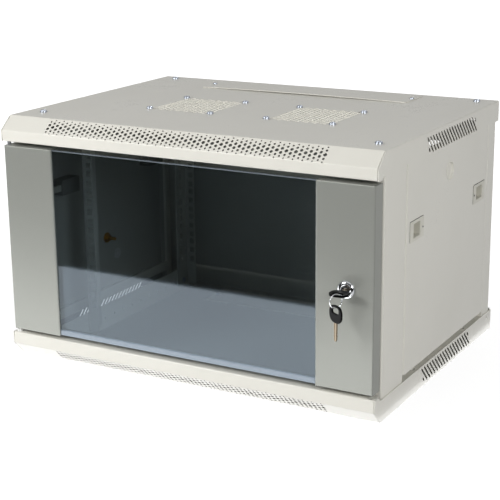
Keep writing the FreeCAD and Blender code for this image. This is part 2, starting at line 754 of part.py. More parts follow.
# ---- every piece, by node name ----
pieces = {
    "roof_cover": roof_cover(),
    "floor_tray": floor_tray(),
    "roof_cable_cover": cable_cover_roof(),
    "floor_cable_cover": cable_cover_floor(),
    "fan_blanks": fan_blanks(),
    "corner_screws": Part.makeCompound(
        [pan_screw(p, (0, 0, 1)) for p in roof_corner_points()]
        + [pan_screw((p[0], p[1], cover_sheet + frame_sheet), (0, 0, 1), shank=2.7)
           for p in roof_corner_points()]),
    "fan_blank_screws": Part.makeCompound(
        [pan_screw(p, (0, 0, 1), 4.0, 2.6, 6.0) for p in fan_screw_points()]),
    "cable_cover_screws": Part.makeCompound(
        [pan_screw(p, (0, 0, 1), 3.6, 2.0, 4.0)
         for p in cable_screw_points(height + cover_sheet + bow_height(cable_half - 9) + 0.1)]
        + [pan_screw(p, (0, 0, 1), 3.6, 2.0, 2.4)
           for p in cable_screw_points(2 * cover_sheet)]),
    "rear_panel": rear_panel(),
    "rear_panel_screws": rear_panel_screws(),
    "rail_screws": rail_screws(),
    "lock_hole_plugs": lock_hole_plugs(),
    "earth_stud": earth_stud(),
    "earth_nut": earth_nut(),
    "door_strip_left": hinge_strip(),
    "door_strip_right": lock_strip(),
    "door_glass": door_glass(),
    "glass_seals": glass_seals(),
    "glass_retainers": glass_retainers(),
    "upper_hinge_pin": upper_hinge_pin(),
    "upper_hinge_spring": upper_hinge_spring(),
    "lower_hinge_pin": lower_hinge_pin(),
    "lower_hinge_bush": lower_hinge_bush(),
    "lock_barrel": lock_barrel(),
    "lock_nut": lock_nut(),
    "lock_plug": lock_plug(),
    "lock_cam": lock_cam(),
    "cam_screw": cam_screw(),
    "key_blade": key_blade(),
    "key_bow": key_bow(),
    "key_ring": key_ring(),
    "spare_key_blade": hung_key(key_blade()),
    "spare_key_bow": hung_key(key_bow()),
}

handed = {
    "front_post": front_post,
    "rear_post": bored_rear_post,
    "lower_sill": lower_sill,
    "upper_sill": lambda: flipped_up(lower_sill()),
    "lower_brace": lower_brace,
    "upper_brace": lambda: flipped_up(lower_brace()),
    "front_rail": front_rail,
    "rear_rail": rear_rail,
    "side_panel": side_panel,
}
for name, make in handed.items():
    right = make()
    pieces[name + "_right"] = right
    pieces[name + "_left"] = mirrored(right)

housings = []
for side, side_name in ((-1, "left"), (1, "right")):
    for end, end_name in ((0, "front"), (1, "rear")):
        name = f"{side_name}_{end_name}"
        housings.append(placed_latch(latch_housing(), side, end))
        pieces[f"latch_slider_{name}"] = placed_latch(latch_slider(), side, end)
        pieces[f"latch_spring_{name}"] = placed_latch(latch_spring(), side, end)
pieces["latch_housings"] = Part.makeCompound(housings)

os.makedirs("parts", exist_ok=True)
for name, shape in pieces.items():
    shape.exportStep(f"parts/{name}.step")
print(len(pieces), "nodes written")
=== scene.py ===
import math

import bpy
import numpy as np
from mathutils import Matrix, Vector, geometry


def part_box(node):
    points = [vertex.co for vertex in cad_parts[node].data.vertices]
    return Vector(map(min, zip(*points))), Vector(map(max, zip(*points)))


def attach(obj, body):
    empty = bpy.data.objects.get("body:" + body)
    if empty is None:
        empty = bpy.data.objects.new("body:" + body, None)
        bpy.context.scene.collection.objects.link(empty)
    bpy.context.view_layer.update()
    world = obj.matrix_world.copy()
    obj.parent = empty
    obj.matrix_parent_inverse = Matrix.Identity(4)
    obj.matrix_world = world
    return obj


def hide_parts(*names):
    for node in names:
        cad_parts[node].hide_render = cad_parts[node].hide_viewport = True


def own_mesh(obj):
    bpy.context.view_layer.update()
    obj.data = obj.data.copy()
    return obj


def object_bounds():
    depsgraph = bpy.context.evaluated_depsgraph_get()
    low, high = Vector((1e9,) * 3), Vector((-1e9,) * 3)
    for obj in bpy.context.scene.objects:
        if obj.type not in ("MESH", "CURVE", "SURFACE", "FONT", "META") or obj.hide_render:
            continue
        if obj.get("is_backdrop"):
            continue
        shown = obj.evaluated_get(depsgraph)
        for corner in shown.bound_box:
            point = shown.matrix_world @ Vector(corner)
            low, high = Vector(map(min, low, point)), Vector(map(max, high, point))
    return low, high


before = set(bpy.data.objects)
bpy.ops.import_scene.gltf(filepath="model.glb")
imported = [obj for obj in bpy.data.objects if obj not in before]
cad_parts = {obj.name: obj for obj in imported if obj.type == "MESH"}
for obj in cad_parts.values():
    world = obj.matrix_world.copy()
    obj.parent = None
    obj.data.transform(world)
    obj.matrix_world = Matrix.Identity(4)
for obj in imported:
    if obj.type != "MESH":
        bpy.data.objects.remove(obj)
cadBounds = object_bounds()

# Everything is drawn in millimetres and set down in metres. +X is right, -Y is the front.
cabinet = {"width": 600.0, "depth": 450.0, "height": 368.0, "coverSheet": 1.2, "frameSheet": 1.5,
           "railSheet": 2.0, "insideBend": 1.3, "bendSteps": 5, "crease": 38.0}
front, back = -cabinet["depth"] / 2, cabinet["depth"] / 2
half, height = cabinet["width"] / 2, cabinet["height"]
cover, sheet = cabinet["coverSheet"], cabinet["frameSheet"]


class Shape:
    # points and triangles gathered part by part; each part is welded and stays a closed shell
    def __init__(self):
        self.points, self.faces, self.edges, self.count = [], [], [], 0

    def add(self, points, faces, cut=None):
        # cut is 1 for a cut or ground edge and 2 for a sheet's inner side; materials may tell
        cut = np.zeros(len(faces)) if cut is None else cut
        key, first, place = np.unique(np.round(points, 4), axis=0, return_index=True,
                                      return_inverse=True)
        faces = place.ravel()[faces]
        a, b, c = faces.T
        whole = (a != b) & (b != c) & (c != a)
        self.points.append(points[first])
        self.faces.append(faces[whole] + self.count)
        self.edges.append(cut[whole])
        self.count += len(key)
        return self

    def join(self, other):
        self.points += other.points
        self.faces += [f + self.count for f in other.faces]
        self.edges += other.edges
        self.count += other.count
        return self

    def moved(self, function, flip=False):
        # the same triangles with every point passed through a function
        out = Shape()
        out.points = [function(p) for p in self.points]
        out.faces = [f[:, ::-1] if flip else f for f in self.faces]
        out.edges, out.count = self.edges, self.count
        return out

    def mirrored(self):
        return self.moved(lambda p: p * [-1, 1, 1], True)

    def upsideDown(self):
        return self.moved(lambda p: p * [1, 1, -1] + [0, 0, height], True)


def unit(vectors):
    length = np.linalg.norm(vectors, axis=-1, keepdims=True)
    return vectors / np.where(length > 0, length, 1.0)


def creaseNormals(points, faces, degrees):
    # each corner gets the area-weighted mean normal of those faces round its point that turn
    # away from its own face by less than the crease angle
    a, b, c = (points[faces[:, k]] for k in range(3))
    area = np.cross(b - a, c - a)
    flat = unit(area)
    order = np.argsort(faces.ravel(), kind="stable")
    point = faces.ravel()[order]
    face = order // 3
    start = np.searchsorted(point, point, "left")
    size = np.searchsorted(point, point, "right") - start
    here = np.repeat(np.arange(len(point)), size)
    other = start[here] + np.arange(size.sum()) - np.repeat(np.cumsum(size) - size, size)
    near = (flat[face[here]] * flat[face[other]]).sum(1) > math.cos(math.radians(degrees))
    total = [np.bincount(here[near], area[face[other[near]], k], len(point)) for k in range(3)]
    normals = np.empty((len(point), 3))
    normals[order] = unit(np.stack(total, 1))
    return normals


def makePiece(name, shape, body, material, replaces=(), slot=None, crease=None):
    points = np.concatenate(shape.points) * 0.001
    faces = np.concatenate(shape.faces)
    mesh = bpy.data.meshes.new(name)
    mesh.vertices.add(len(points))
    mesh.vertices.foreach_set("co", points.ravel())
    mesh.loops.add(faces.size)
    mesh.loops.foreach_set("vertex_index", faces.ravel())
    mesh.polygons.add(len(faces))
    mesh.polygons.foreach_set("loop_start", np.arange(0, faces.size, 3))
    mesh.polygons.foreach_set("use_smooth", np.ones(len(faces), bool))
    mesh.update(calc_edges=True)
    cut = mesh.attributes.new("cutEdge", "FLOAT", "FACE")
    cut.data.foreach_set("value", np.concatenate(shape.edges))
    normals = creaseNormals(points * 1000, faces, crease or cabinet["crease"])
    mesh.normals_split_custom_set(normals.tolist())
    piece = bpy.data.objects.new(name, mesh)
    bpy.context.scene.collection.objects.link(piece)
    mesh.materials.append(material)
    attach(piece, body)
    if replaces:
        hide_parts(*replaces)
    return piece


# Folded sheet metal: a profile is drawn in one plane and carried along the third direction.
def side(x, y, t):
    return np.stack([t, x, y], -1)  # in Y and Z, along X


def endOn(x, z, t):
    return np.stack([x, t, z], -1)  # in X and Z, along Y


def plan(x, y, t):
    return np.stack([x, y, t], -1)  # in X and Y, along Z


class Fold:
    # A folded sheet seen end on: straight runs joined by arcs. A distance is measured along the
    # outer face, which lies to the right of the path; the sheet's thickness lies to its left.
    def __init__(self, corners, thick, inside=cabinet["insideBend"], steps=cabinet["bendSteps"]):
        corners = np.array(corners, float)
        runs = np.diff(corners, axis=0)
        lengths = np.hypot(runs[:, 0], runs[:, 1])
        headings = np.arctan2(runs[:, 1], runs[:, 0])
        turns = (np.diff(headings) + math.pi) % (2 * math.pi) - math.pi
        inside = np.maximum(np.broadcast_to(inside, turns.shape), 0.3)
        radii = np.where(turns > 0, inside + thick, inside)
        trims = np.concatenate([[0], radii * np.tan(abs(turns) / 2), [0]])
        self.thick, self.runStart, stretches, marks = thick, [], [], []
        travelled = 0.0
        for i, (corner, length, heading) in enumerate(zip(corners, lengths, headings)):
            along = np.array([math.cos(heading), math.sin(heading)])
            self.runStart.append(travelled - trims[i])
            stretches.append([travelled, *(corner + along * trims[i]), heading, 0.0])
            travelled += length - trims[i] - trims[i + 1]
            if i < len(turns):
                arc = radii[i] * abs(turns[i])
                end = corner + along * (length - trims[i + 1])
                stretches.append([travelled, *end, heading, np.sign(turns[i]) / radii[i]])
                marks += [travelled + arc * k / steps for k in range(steps + 1)]
                travelled += arc
        self.length, self.marks = travelled, marks
        self.starts, self.x, self.y, self.heading, self.curve = np.array(stretches).T

    def at(self, run, distance):
        # how far along the sheet a point lies that is this far along one run from its corner
        return self.runStart[run] + distance

    def place(self, along, depth):
        # a chord of the arc turns half as far as the arc does, which also holds for a straight run
        k = np.clip(np.searchsorted(self.starts, along, "right") - 1, 0, None)
        rest = along - self.starts[k]
        turn = self.curve[k] * rest
        chord = rest * np.sinc(turn / 2 / math.pi)
        middle = self.heading[k] + turn / 2
        end = self.heading[k] + turn
        return (self.x[k] + chord * np.cos(middle) - depth * np.sin(end),
                self.y[k] + chord * np.sin(middle) + depth * np.cos(end))


def counterClockwise(loop):
    loop = np.asarray(loop, float)
    x, y = loop.T
    return loop if (x * np.roll(y, -1) - y * np.roll(x, -1)).sum() > 0 else loop[::-1]


def cutBlank(outline, holes, marks):
    # constrained triangulation of the outline, with lines across the bends and the holes left out
    loops = [counterClockwise(loop) for loop in [outline, *holes]]
    low, high = loops[0].min(0), loops[0].max(0)
    lines = [[(m, low[1] - 1), (m, high[1] + 1)] for m in marks if low[0] < m < high[0]]
    points = np.concatenate(loops + [np.array(line) for line in lines])
    ends = np.cumsum([len(loop) for loop in loops])
    rings = [list(range(e - len(loop), e)) for e, loop in zip(ends, loops)]
    edges = [(ends[-1] + 2 * k, ends[-1] + 2 * k + 1) for k in range(len(lines))]
    flat, _, faces, _, _, origin = geometry.delaunay_2d_cdt(
        [Vector(p) for p in points], edges, rings, 0, 1e-5, True)
    kept = np.array([face for face, ids in zip(faces, origin) if list(ids) == [0]])
    used, kept = np.unique(kept, return_inverse=True)
    return np.array(flat)[used], kept.reshape(-1, 3)


def twoSkins(outer, inner, faces, marked=True):
    # the same triangles on both skins, turned over on the second, and walls round every rim
    n = len(outer)
    edges = np.concatenate([faces[:, [0, 1]], faces[:, [1, 2]], faces[:, [2, 0]]])
    key = np.sort(edges, 1) @ [n, 1]
    _, first, count = np.unique(key, return_index=True, return_counts=True)
    a, b = edges[first[count == 1]].T
    walls = np.concatenate([np.stack([b, a, a + n], 1), np.stack([b, a + n, b + n], 1)])
    cut = np.repeat([0.0, 2.0, 1.0], [len(faces), len(faces), len(walls)]) if marked else None
    return Shape().add(np.concatenate([outer, inner]),
                       np.concatenate([faces, faces[:, ::-1] + n, walls]), cut)


def foldedSheet(fold, outline, place, holes=()):
    # the blank is laid along the fold's outer face, and again one thickness in
    blank, faces = cutBlank(outline, holes, fold.marks)
    along, across = blank.T
    outer = place(*fold.place(along, 0.0), across)
    inner = place(*fold.place(along, fold.thick), across)
    a, b, c = (outer[faces[:, k]] for k in range(3))
    inward = inner[faces[:, 0]] - a
    if (np.cross(b - a, c - a) * inward).sum() > 0:
        faces = faces[:, ::-1]
    return twoSkins(outer, inner, faces)


def circle(x, y, r, sides=16):
    turn = np.arange(sides) * 2 * math.pi / sides
    return np.stack([x + r * np.cos(turn), y + r * np.sin(turn)], 1)


def rectangle(x0, x1, y0, y1):
    return np.array([(x0, y0), (x1, y0), (x1, y1), (x0, y1)], float)


def roundedRectangle(x, y, a, b, r, steps=4):
    # quarter circles about the four corner centres
    turn = np.linspace(0, math.pi / 2, steps + 1)
    quarter = np.stack([np.cos(turn), np.sin(turn)], 1) * r
    spin = np.array([[0, 1], [-1, 0]])
    out = []
    for k, (sx, sy) in enumerate([(1, 1), (-1, 1), (-1, -1), (1, -1)]):
        out.append(quarter @ np.linalg.matrix_power(spin, k) + [x + sx * (a - r), y + sy * (b - r)])
    return np.concatenate(out)


def slantedSlot(start, end, wide, steps=5):
    # half circles about both ends of a line
    start, end = np.array(start, float), np.array(end, float)
    turn = math.atan2(*(end - start)[::-1]) + np.linspace(-math.pi / 2, math.pi / 2, steps + 1)
    cap = np.stack([np.cos(turn), np.sin(turn)], 1) * wide / 2
    return np.concatenate([end + cap, start - cap])


def gridFaces(rows, columns):
    # two triangles for each cell between neighbouring rows and columns
    i, j = np.meshgrid(np.arange(rows - 1), np.arange(columns - 1), indexing="ij")
    a = (i * columns + j).ravel()
    b, c, d = a + 1, a + columns + 1, a + columns
    return np.concatenate([np.stack([a, b, c], 1), np.stack([a, c, d], 1)])


def gridShape(points):
    # rows and columns of points; a row or column that repeats the first one closes the shape
    rows, columns, _ = points.shape
    return Shape().add(points.reshape(-1, 3), gridFaces(rows, columns))


def frameOf(axis):
    axis = unit(np.array(axis, float))
    sideways = unit(np.cross(axis, [0, 0, 1] if abs(axis[2]) < 0.9 else [0, 1, 0]))
    return sideways, np.cross(axis, sideways), axis


def turned(centre, axis, profile, sides=40):
    # the profile's (distance along the axis, radius) pairs carried round the axis
    u, v, w = frameOf(axis)
    along, r = np.array(profile, float).T
    turn = np.linspace(0, 2 * math.pi, sides + 1)
    ring = np.cos(turn)[:, None] * u + np.sin(turn)[:, None] * v
    ring[-1] = ring[0]
    points = np.array(centre) + along[:, None, None] * w + r[:, None, None] * ring[None]
    return gridShape(points[::-1])


def lofted(rings, place):
    # rounded rectangles (x, y, half width, half height, corner radius, depth), skinned in turn
    out = []
    for x, y, a, b, r, depth in rings:
        loop = roundedRectangle(x, y, a, b, min(r, a, b))
        loop = np.concatenate([loop, loop[:1]])
        out.append(place(loop[:, 0], loop[:, 1], np.full(len(loop), float(depth))))
    return gridShape(np.array(out))


def wire(path, r, sides=12):
    # a circle carried along the path, square to it, its frame taken from one fixed direction
    path = np.array(path, float)
    along = unit(np.gradient(path, axis=0))
    other = unit(np.cross(along, unit(np.array([0.31, 0.23, 0.92]))))
    third = np.cross(along, other)
    turn = np.linspace(0, 2 * math.pi, sides + 1)
    turn[-1] = 0.0
    tube = path[:, None] + r * (np.cos(turn)[:, None] * other[:, None]
                                + np.sin(turn)[:, None] * third[:, None])
    caps = [np.repeat(path[:1, None], sides + 1, 1), tube, np.repeat(path[-1:, None], sides + 1, 1)]
    return gridShape(np.concatenate(caps)[:, ::-1])


def smoothStep(x, low, high):
    t = np.clip((x - low) / (high - low), 0, 1)
    return t * t * (3 - 2 * t)


screws = {"rings": 12, "sides": 40, "recessReach": 0.56, "recessWide": 0.15, "recessDepth": 0.5}


def panScrew(head, up, radius=4.4, tall=2.6, shank=8.0, spin=20.0):
    # a dome over the polar grid, sunk by a cross: deep where a point is near one of the two arms
    u, v, w = frameOf(up)
    rho = np.linspace(0, 1, screws["rings"])[:, None] ** 0.8
    turn = np.linspace(0, 2 * math.pi, screws["sides"] + 1)[None]
    x, y = rho * np.cos(turn), rho * np.sin(turn)
    arm = np.minimum(abs(x), abs(y))
    reach = np.maximum(abs(x), abs(y))
    sunk = (1 - smoothStep(arm, screws["recessWide"] * 0.6, screws["recessWide"] * 1.4)) \
        * (1 - smoothStep(reach, screws["recessReach"] * 0.8, screws["recessReach"] * 1.15))
    z = tall * (1 - rho ** 7 * np.ones_like(turn)) ** 0.5 - tall * screws["recessDepth"] * sunk
    lean = math.radians(spin)
    su = u * math.cos(lean) + v * math.sin(lean)
    sv = v * math.cos(lean) - u * math.sin(lean)
    dome = np.array(head) + radius * (x[..., None] * su + y[..., None] * sv) + z[..., None] * w
    foot = np.array(head) + radius * (x[-1:, :, None] * su + y[-1:, :, None] * sv)
    stem = np.array(head) + 2.0 * (x[-1:, :, None] * su + y[-1:, :, None] * sv)
    end = np.repeat(np.array(head)[None, None] - shank * w, dome.shape[1], 1)
    rows = np.concatenate([dome, foot, stem, stem - shank * w, end])
    return gridShape(rows[:, ::-1])


def together(shapes):
    out = Shape()
    for shape in shapes:
        out.join(shape)
    return out


class Value:
    # a node's output, so that sums and products of it add their Math nodes
    def __init__(self, graph, socket):
        self.graph, self.socket = graph, socket

    def maths(self, operation, *others):
        return self.graph.node("ShaderNodeMath", {"operation": operation},
                               dict(enumerate([self, *others])))

    def __add__(self, other):
        return self.maths("ADD", other)

    __radd__ = __add__

    def __mul__(self, other):
        return self.maths("MULTIPLY", other)

    __rmul__ = __mul__

    def __sub__(self, other):
        return self.maths("SUBTRACT", other)

    def __rsub__(self, other):
        return self.graph.node("ShaderNodeMath", {"operation": "SUBTRACT"}, {0: other, 1: self})

    def __gt__(self, other):
        return self.maths("GREATER_THAN", other)

    def between(self, low, high):
        # 0 at low, 1 at high, held at both ends
        return self.graph.node("ShaderNodeMapRange", {"clamp": True},
                               {"Value": self, "From Min": low, "From Max": high})


class Graph:
    def __init__(self, name, world=False):
        owner = bpy.data.worlds.new(name) if world else bpy.data.materials.new(name)
        owner.use_nodes = True
        self.owner, self.tree = owner, owner.node_tree
        self.tree.nodes.clear()

    def node(self, kind, settings=None, inputs=None, output=0):
        made = self.tree.nodes.new(kind)
        for key, value in (settings or {}).items():
            if key == "stops":
                ramp = made.color_ramp.elements
                while len(ramp) < len(value):
                    ramp.new(0.5)
                for stop, (place, colour) in zip(ramp, value):
                    stop.position, stop.color = place, (*colour, 1.0)
            else:
                setattr(made, key, value)
        for key, value in (inputs or {}).items():
            if isinstance(value, Value):
                self.tree.links.new(value.socket, made.inputs[key])
            else:
                made.inputs[key].default_value = value
        return Value(self, made.outputs[output])

    def coordinates(self):
        return self.node("ShaderNodeTexCoord", output="Object")

    def noise(self, scale, detail=2.0, rough=0.5, where=None):
        return self.node("ShaderNodeTexNoise", {},
                         {"Vector": where or self.coordinates(), "Scale": scale,
                          "Detail": detail, "Roughness": rough})

    def mix(self, factor, low, high):
        return self.node("ShaderNodeMix", {"data_type": "RGBA"},
                         {0: factor, 6: low, 7: high}, output=2)

    def bump(self, height, distance, strength=1.0):
        return self.node("ShaderNodeBump", {}, {"Height": height, "Distance": distance,
                                                "Strength": strength})

    def principled(self, inputs):
        return self.node("ShaderNodeBsdfPrincipled", {}, inputs)

    def finish(self, shader):
        kind = "ShaderNodeOutputWorld" if isinstance(self.owner, bpy.types.World) else \
            "ShaderNodeOutputMaterial"
        out = self.tree.nodes.new(kind)
        self.tree.links.new(shader.socket, out.inputs["Surface"])
        return self.owner


def linear(red, green, blue):
    # a colour as it is written on a screen, in the light values that a shader takes
    return tuple(c / 255 / 12.92 if c / 255 <= 0.04045 else ((c / 255 + 0.055) / 1.055) ** 2.4
                 for c in (red, green, blue)) + (1.0,)


paints = {"cabinet": {"colour": (231, 229, 220), "worn": (222, 220, 210), "gloss": 0.27},
          "door": {"colour": (149, 151, 145), "worn": (141, 143, 137), "gloss": 0.36,
                   "metallic": 0.25},
          "rail": {"colour": (214, 213, 204), "worn": (204, 203, 194), "gloss": 0.36},
          # the cut-edge colour is partly a thin coat and partly painted shade in holes and slots; the
          # inner-side colour is painted shade on the sheets' inner sides
          "bare": (92, 84, 72), "inside": (190, 189, 181)}
powder = {"drift": 6.0, "speck": 700.0, "peel": 1100.0, "peelDepth": 0.00002, "peelShare": 0.22,
          "worn": 0.5, "dotted": 0.12, "driftGloss": 0.08, "speckGloss": 0.06}


def powderPaint(name, colour, worn, gloss, edge=0.0, inside=0.0, metallic=0.0, index=1.46):
    # fine orange peel in the bump, a faint drift in colour and gloss, cut edges darker partly as a
    # thin coat and partly as painted shade, and inner sides darker as painted shade
    g = Graph(name)
    cut = g.node("ShaderNodeAttribute", {"attribute_name": "cutEdge"}, output="Fac")
    drift = g.noise(powder["drift"], 4.0, 0.6)
    speck = g.noise(powder["speck"], 2.0, 0.6)
    peel = g.noise(powder["peel"], 2.0, 0.45)
    wear = drift.between(0.3, 0.75) * powder["worn"] + speck.between(0.45, 0.75) * powder["dotted"]
    base = g.mix(wear, linear(*colour), linear(*worn))
    # painted shade: inner sides take the darker inner-side colour, and cut edges the dark edge colour,
    # which is partly thin coat
    within = cut > 1.5
    base = g.mix(within * inside, base, linear(*paints["inside"]))
    base = g.mix((cut > 0.5) * (1 - within) * edge, base, linear(*paints["bare"]))
    rough = drift * powder["driftGloss"] + speck * powder["speckGloss"] + (gloss - 0.05)
    return g.finish(g.principled({"Base Color": base, "Roughness": rough, "IOR": index,
                                  "Metallic": metallic,
                                  "Normal": g.bump(peel, powder["peelDepth"], powder["peelShare"])}))


def metal(name, colour, rough, grain=420.0, drift=0.08, bumpDistance=0.00002):
    # clouds dull the colour and the polish, and fine scratches roughen it
    g = Graph(name)
    cloud = g.noise(60.0, 3.0, 0.6)
    scratch = g.noise(grain, 3.0, 0.6)
    dull = tuple(c * 0.82 for c in linear(*colour)[:3]) + (1.0,)
    base = g.mix(cloud.between(0.35, 0.7), linear(*colour), dull)
    return g.finish(g.principled({"Base Color": base, "Metallic": 1.0,
                                  "Roughness": cloud * drift + scratch * drift + rough,
                                  "Normal": g.bump(scratch, bumpDistance, 0.3)}))


def plastic(name, colour, rough, grain=900.0, strength=0.3, index=1.46):
    # a moulded skin with fine grain and a colour that drifts a little
    g = Graph(name)
    cloud = g.noise(25.0, 3.0, 0.6)
    grains = g.noise(grain, 2.0, 0.5)
    dark = tuple(c * 0.86 for c in linear(*colour)[:3]) + (1.0,)
    base = g.mix(cloud.between(0.3, 0.8), linear(*colour), dark)
    return g.finish(g.principled({"Base Color": base, "Roughness": grains * 0.1 + rough,
                                  "IOR": index,
                                  "Normal": g.bump(grains, 0.00003, strength)}))


cabinetPaint = powderPaint("cabinetPaint", **paints["cabinet"])
# these paints darken the sheets' inner sides as painted shade; the pierced one darkens cut edges too,
# partly thin coat and partly painted shade
panelPaint = powderPaint("panelPaint", **paints["cabinet"], inside=1.0)
blankPaint = powderPaint("blankPaint", (250, 249, 240), (246, 245, 235), 0.4)
piercedPaint = powderPaint("piercedPaint", **paints["cabinet"], edge=0.85, inside=1.0)
doorPaint = powderPaint("doorPaint", **paints["door"])
railPaint = powderPaint("railPaint", **paints["rail"])
zincSteel = metal("zincSteel", (198, 200, 202), 0.30)
screwZinc = metal("screwZinc", (190, 196, 206), 0.3)
springSteel = metal("springSteel", (176, 178, 182), 0.24)
brass = metal("brass", (201, 160, 82), 0.26)
lockChrome = metal("lockChrome", (228, 230, 233), 0.07, drift=0.03, bumpDistance=0.000005)
keySteel = metal("keySteel", (134, 122, 104), 0.28)
latchPlastic = plastic("latchPlastic", (226, 224, 212), 0.36)
whiteNylon = plastic("whiteNylon", (232, 232, 228), 0.42)
# dark foam for the glass seals, also used on the latch plates as painted shade
sealFoamAndShade = plastic("sealFoamAndShade", (34, 34, 35), 0.85, 1500.0, 0.8)
keyPlastic = plastic("keyPlastic", (9, 9, 10), 0.3, 1200.0, 0.25, 1.13)
boxPlastic = plastic("boxPlastic", (150, 149, 142), 0.45)
# darker than the housing so that the finger well reads as in shade: painted shade
sliderShadedPlastic = plastic("sliderShadedPlastic", (204, 202, 190), 0.4)
print("materials ready")


# perforation shared by the roof and the floor
fascia = {"columns": 64, "pitch": 7.0,
          "five": [(0.0, 2.6, 16), (6.9, 1.9, 12), (-6.9, 1.9, 12), (12.3, 1.2, 10),
                   (-12.3, 1.2, 10)],
          "four": [(3.45, 2.3, 14), (-3.45, 2.3, 14), (9.4, 1.55, 12), (-9.4, 1.55, 12)]}
skirtSlots = {"count": 18, "pitch": 10.0, "first": front + 161.8, "run": 21.0, "wide": 3.4,
              "stubs": {-1: (15.4, 19.0), 18: (2.4, 6.0)}}


def fasciaHoles(middle):
    # columns of five and of four holes in turn, each hole smaller the further it is from the
    # middle; the lists give each hole's offset, radius and sides
    holes = []
    for column in range(fascia["columns"]):
        x = (column - (fascia["columns"] - 1) / 2) * fascia["pitch"]
        holes += [circle(middle + offset, x, r, sides)
                  for offset, r, sides in fascia["five" if column % 2 else "four"]]
    return holes


def slotHoles(distance, high, toRear=False):
    # slots that lean 45 degrees, top to the front or to the rear, and a stub at each end of the row
    run, holes = skirtSlots["run"], []
    ends = 2 * skirtSlots["first"] + skirtSlots["pitch"] * (skirtSlots["count"] - 1) + run
    for i in range(-1, skirtSlots["count"] + 1):
        y = skirtSlots["first"] + skirtSlots["pitch"] * i
        low, far = skirtSlots["stubs"].get(i, (0.0, run))
        upper, lower = (ends - y - low, ends - y - far) if toRear else (y + low, y + far)
        holes.append(slantedSlot((distance(high - low), upper), (distance(high - far), lower),
                                 skirtSlots["wide"]))
    return holes


def steppedOutline(widths):
    # the blank's two edges: (distance along the sheet, half width) pairs down one side and back
    return widths + [(s, -w) for s, w in reversed(widths)]


# roof
roof = {"run": 22.6, "drop": 19.1, "lip": 16.4, "skirt": 31.2, "ledge": 45.0, "ledgeEnds": 18.0,
        "between": 262.0, "seam": 1.9, "fans": (-90.0, 108.0), "fanY": front + 208.5,
        "fanColumns": 14, "fanPitch": 7.15, "fanHoles": 13, "fanStep": 8.3, "fanHole": 3.4,
        "turnIn": 8.0, "fanScrew": 52.5}
ledgeTop = height - roof["drop"] - roof["lip"]


def fanField(fold, x):
    # upright rows of round holes, every other row set on by half a step
    holes = []
    for i in range(roof["fanColumns"]):
        for j in range(roof["fanHoles"]):
            u = x + (i - (roof["fanColumns"] - 1) / 2) * roof["fanPitch"]
            v = roof["fanY"] + (j - (roof["fanHoles"] - 1) / 2 + (0.25 if i % 2 else -0.25)) \
                * roof["fanStep"]
            holes.append(circle(fold.at(1, back - v), u, roof["fanHole"], 12))
    return holes


def roofSkirt(toRear=False):
    # the side plate turned down from the roof; its front edge follows the slope and the lip
    low = height - roof["skirt"]
    inner = half - roof["turnIn"]
    fold = Fold([(half, ledgeTop), (half, height), (inner, height)], cover)

    def up(z):
        return fold.at(0, z - ledgeTop)

    bendTop = height - cover - cabinet["insideBend"]
    slope = roof["run"] / roof["drop"]
    y = front + roof["run"]
    outline = [(up(low), back - 0.1), (up(low), front + roof["ledgeEnds"]),
               (up(ledgeTop), front + roof["ledgeEnds"] - 6), (up(ledgeTop), front + 0.1),
               (up(height - roof["drop"]), front + 0.1),
               (up(bendTop), y - (height - bendTop) * slope + 0.1),
               (fold.at(1, 3.0), y + 1.2), (fold.length, y + 1.2),
               (fold.length, back - 2.6), (fold.at(1, 2.6), back - 2.6), (up(bendTop), back - 0.1)]
    return foldedSheet(fold, outline, endOn, slotHoles(up, height - 8.6, toRear))


def roofShape():
    # one folded blank: rear skirt, top, slope, lip and ledge; the ends of the top are narrower,
    # because the side plates fold over onto it there
    fold = Fold([(back, height - roof["skirt"]), (back, height), (front + roof["run"], height),
                 (front, height - roof["drop"]), (front, ledgeTop),
                 (front + roof["ledge"], ledgeTop)], cover)
    rearBend, frontBend = fold.at(1, 2.6), fold.at(1, back - front - roof["run"] - 1.2)
    wide, inner, mouth = half - roof["seam"], half - roof["turnIn"], roof["between"]
    ledgeStart = fold.at(4, 2.6)
    outline = steppedOutline([
        (0, wide), (rearBend, wide), (rearBend, inner), (frontBend, inner), (frontBend, wide),
        (ledgeStart, wide), (fold.at(4, roof["ledgeEnds"]), wide - 1),
        (fold.at(4, roof["ledgeEnds"]), mouth), (fold.length, mouth)])
    slope = math.hypot(roof["run"], roof["drop"])
    holes = fasciaHoles(fold.at(2, slope / 2 + 0.9))
    for x in roof["fans"]:
        holes += fanField(fold, x)
    lap, reach = cableCover["lap"], cableCover["opening"]
    holes.append(rectangle(fold.at(1, back - cableCover["rear"] + lap),
                           fold.at(1, back - cableCover["front"] - lap), -reach, reach))
    holes += [circle(fold.at(4, hinge["y"] - front), sx * hinge["x"], hinge["bore"], 20)
              for sx in (-1, 1)]
    return together([foldedSheet(fold, outline, side, holes), roofSkirt(),
                     roofSkirt(True).mirrored()])


cableCover = {"x": 3.0, "half": 179.0, "front": front + 365.0, "rear": front + 431.0, "bow": 1.4,
              "screwX": 175.5, "lift": 0.05, "lap": 9.0, "opening": 164.0}
hinge = {"x": -291.0, "y": front + 6.0, "pull": 8.0, "bore": 3.08, "bracketBore": 3.35,
         "bracket": 23.0, "springWire": 0.35}


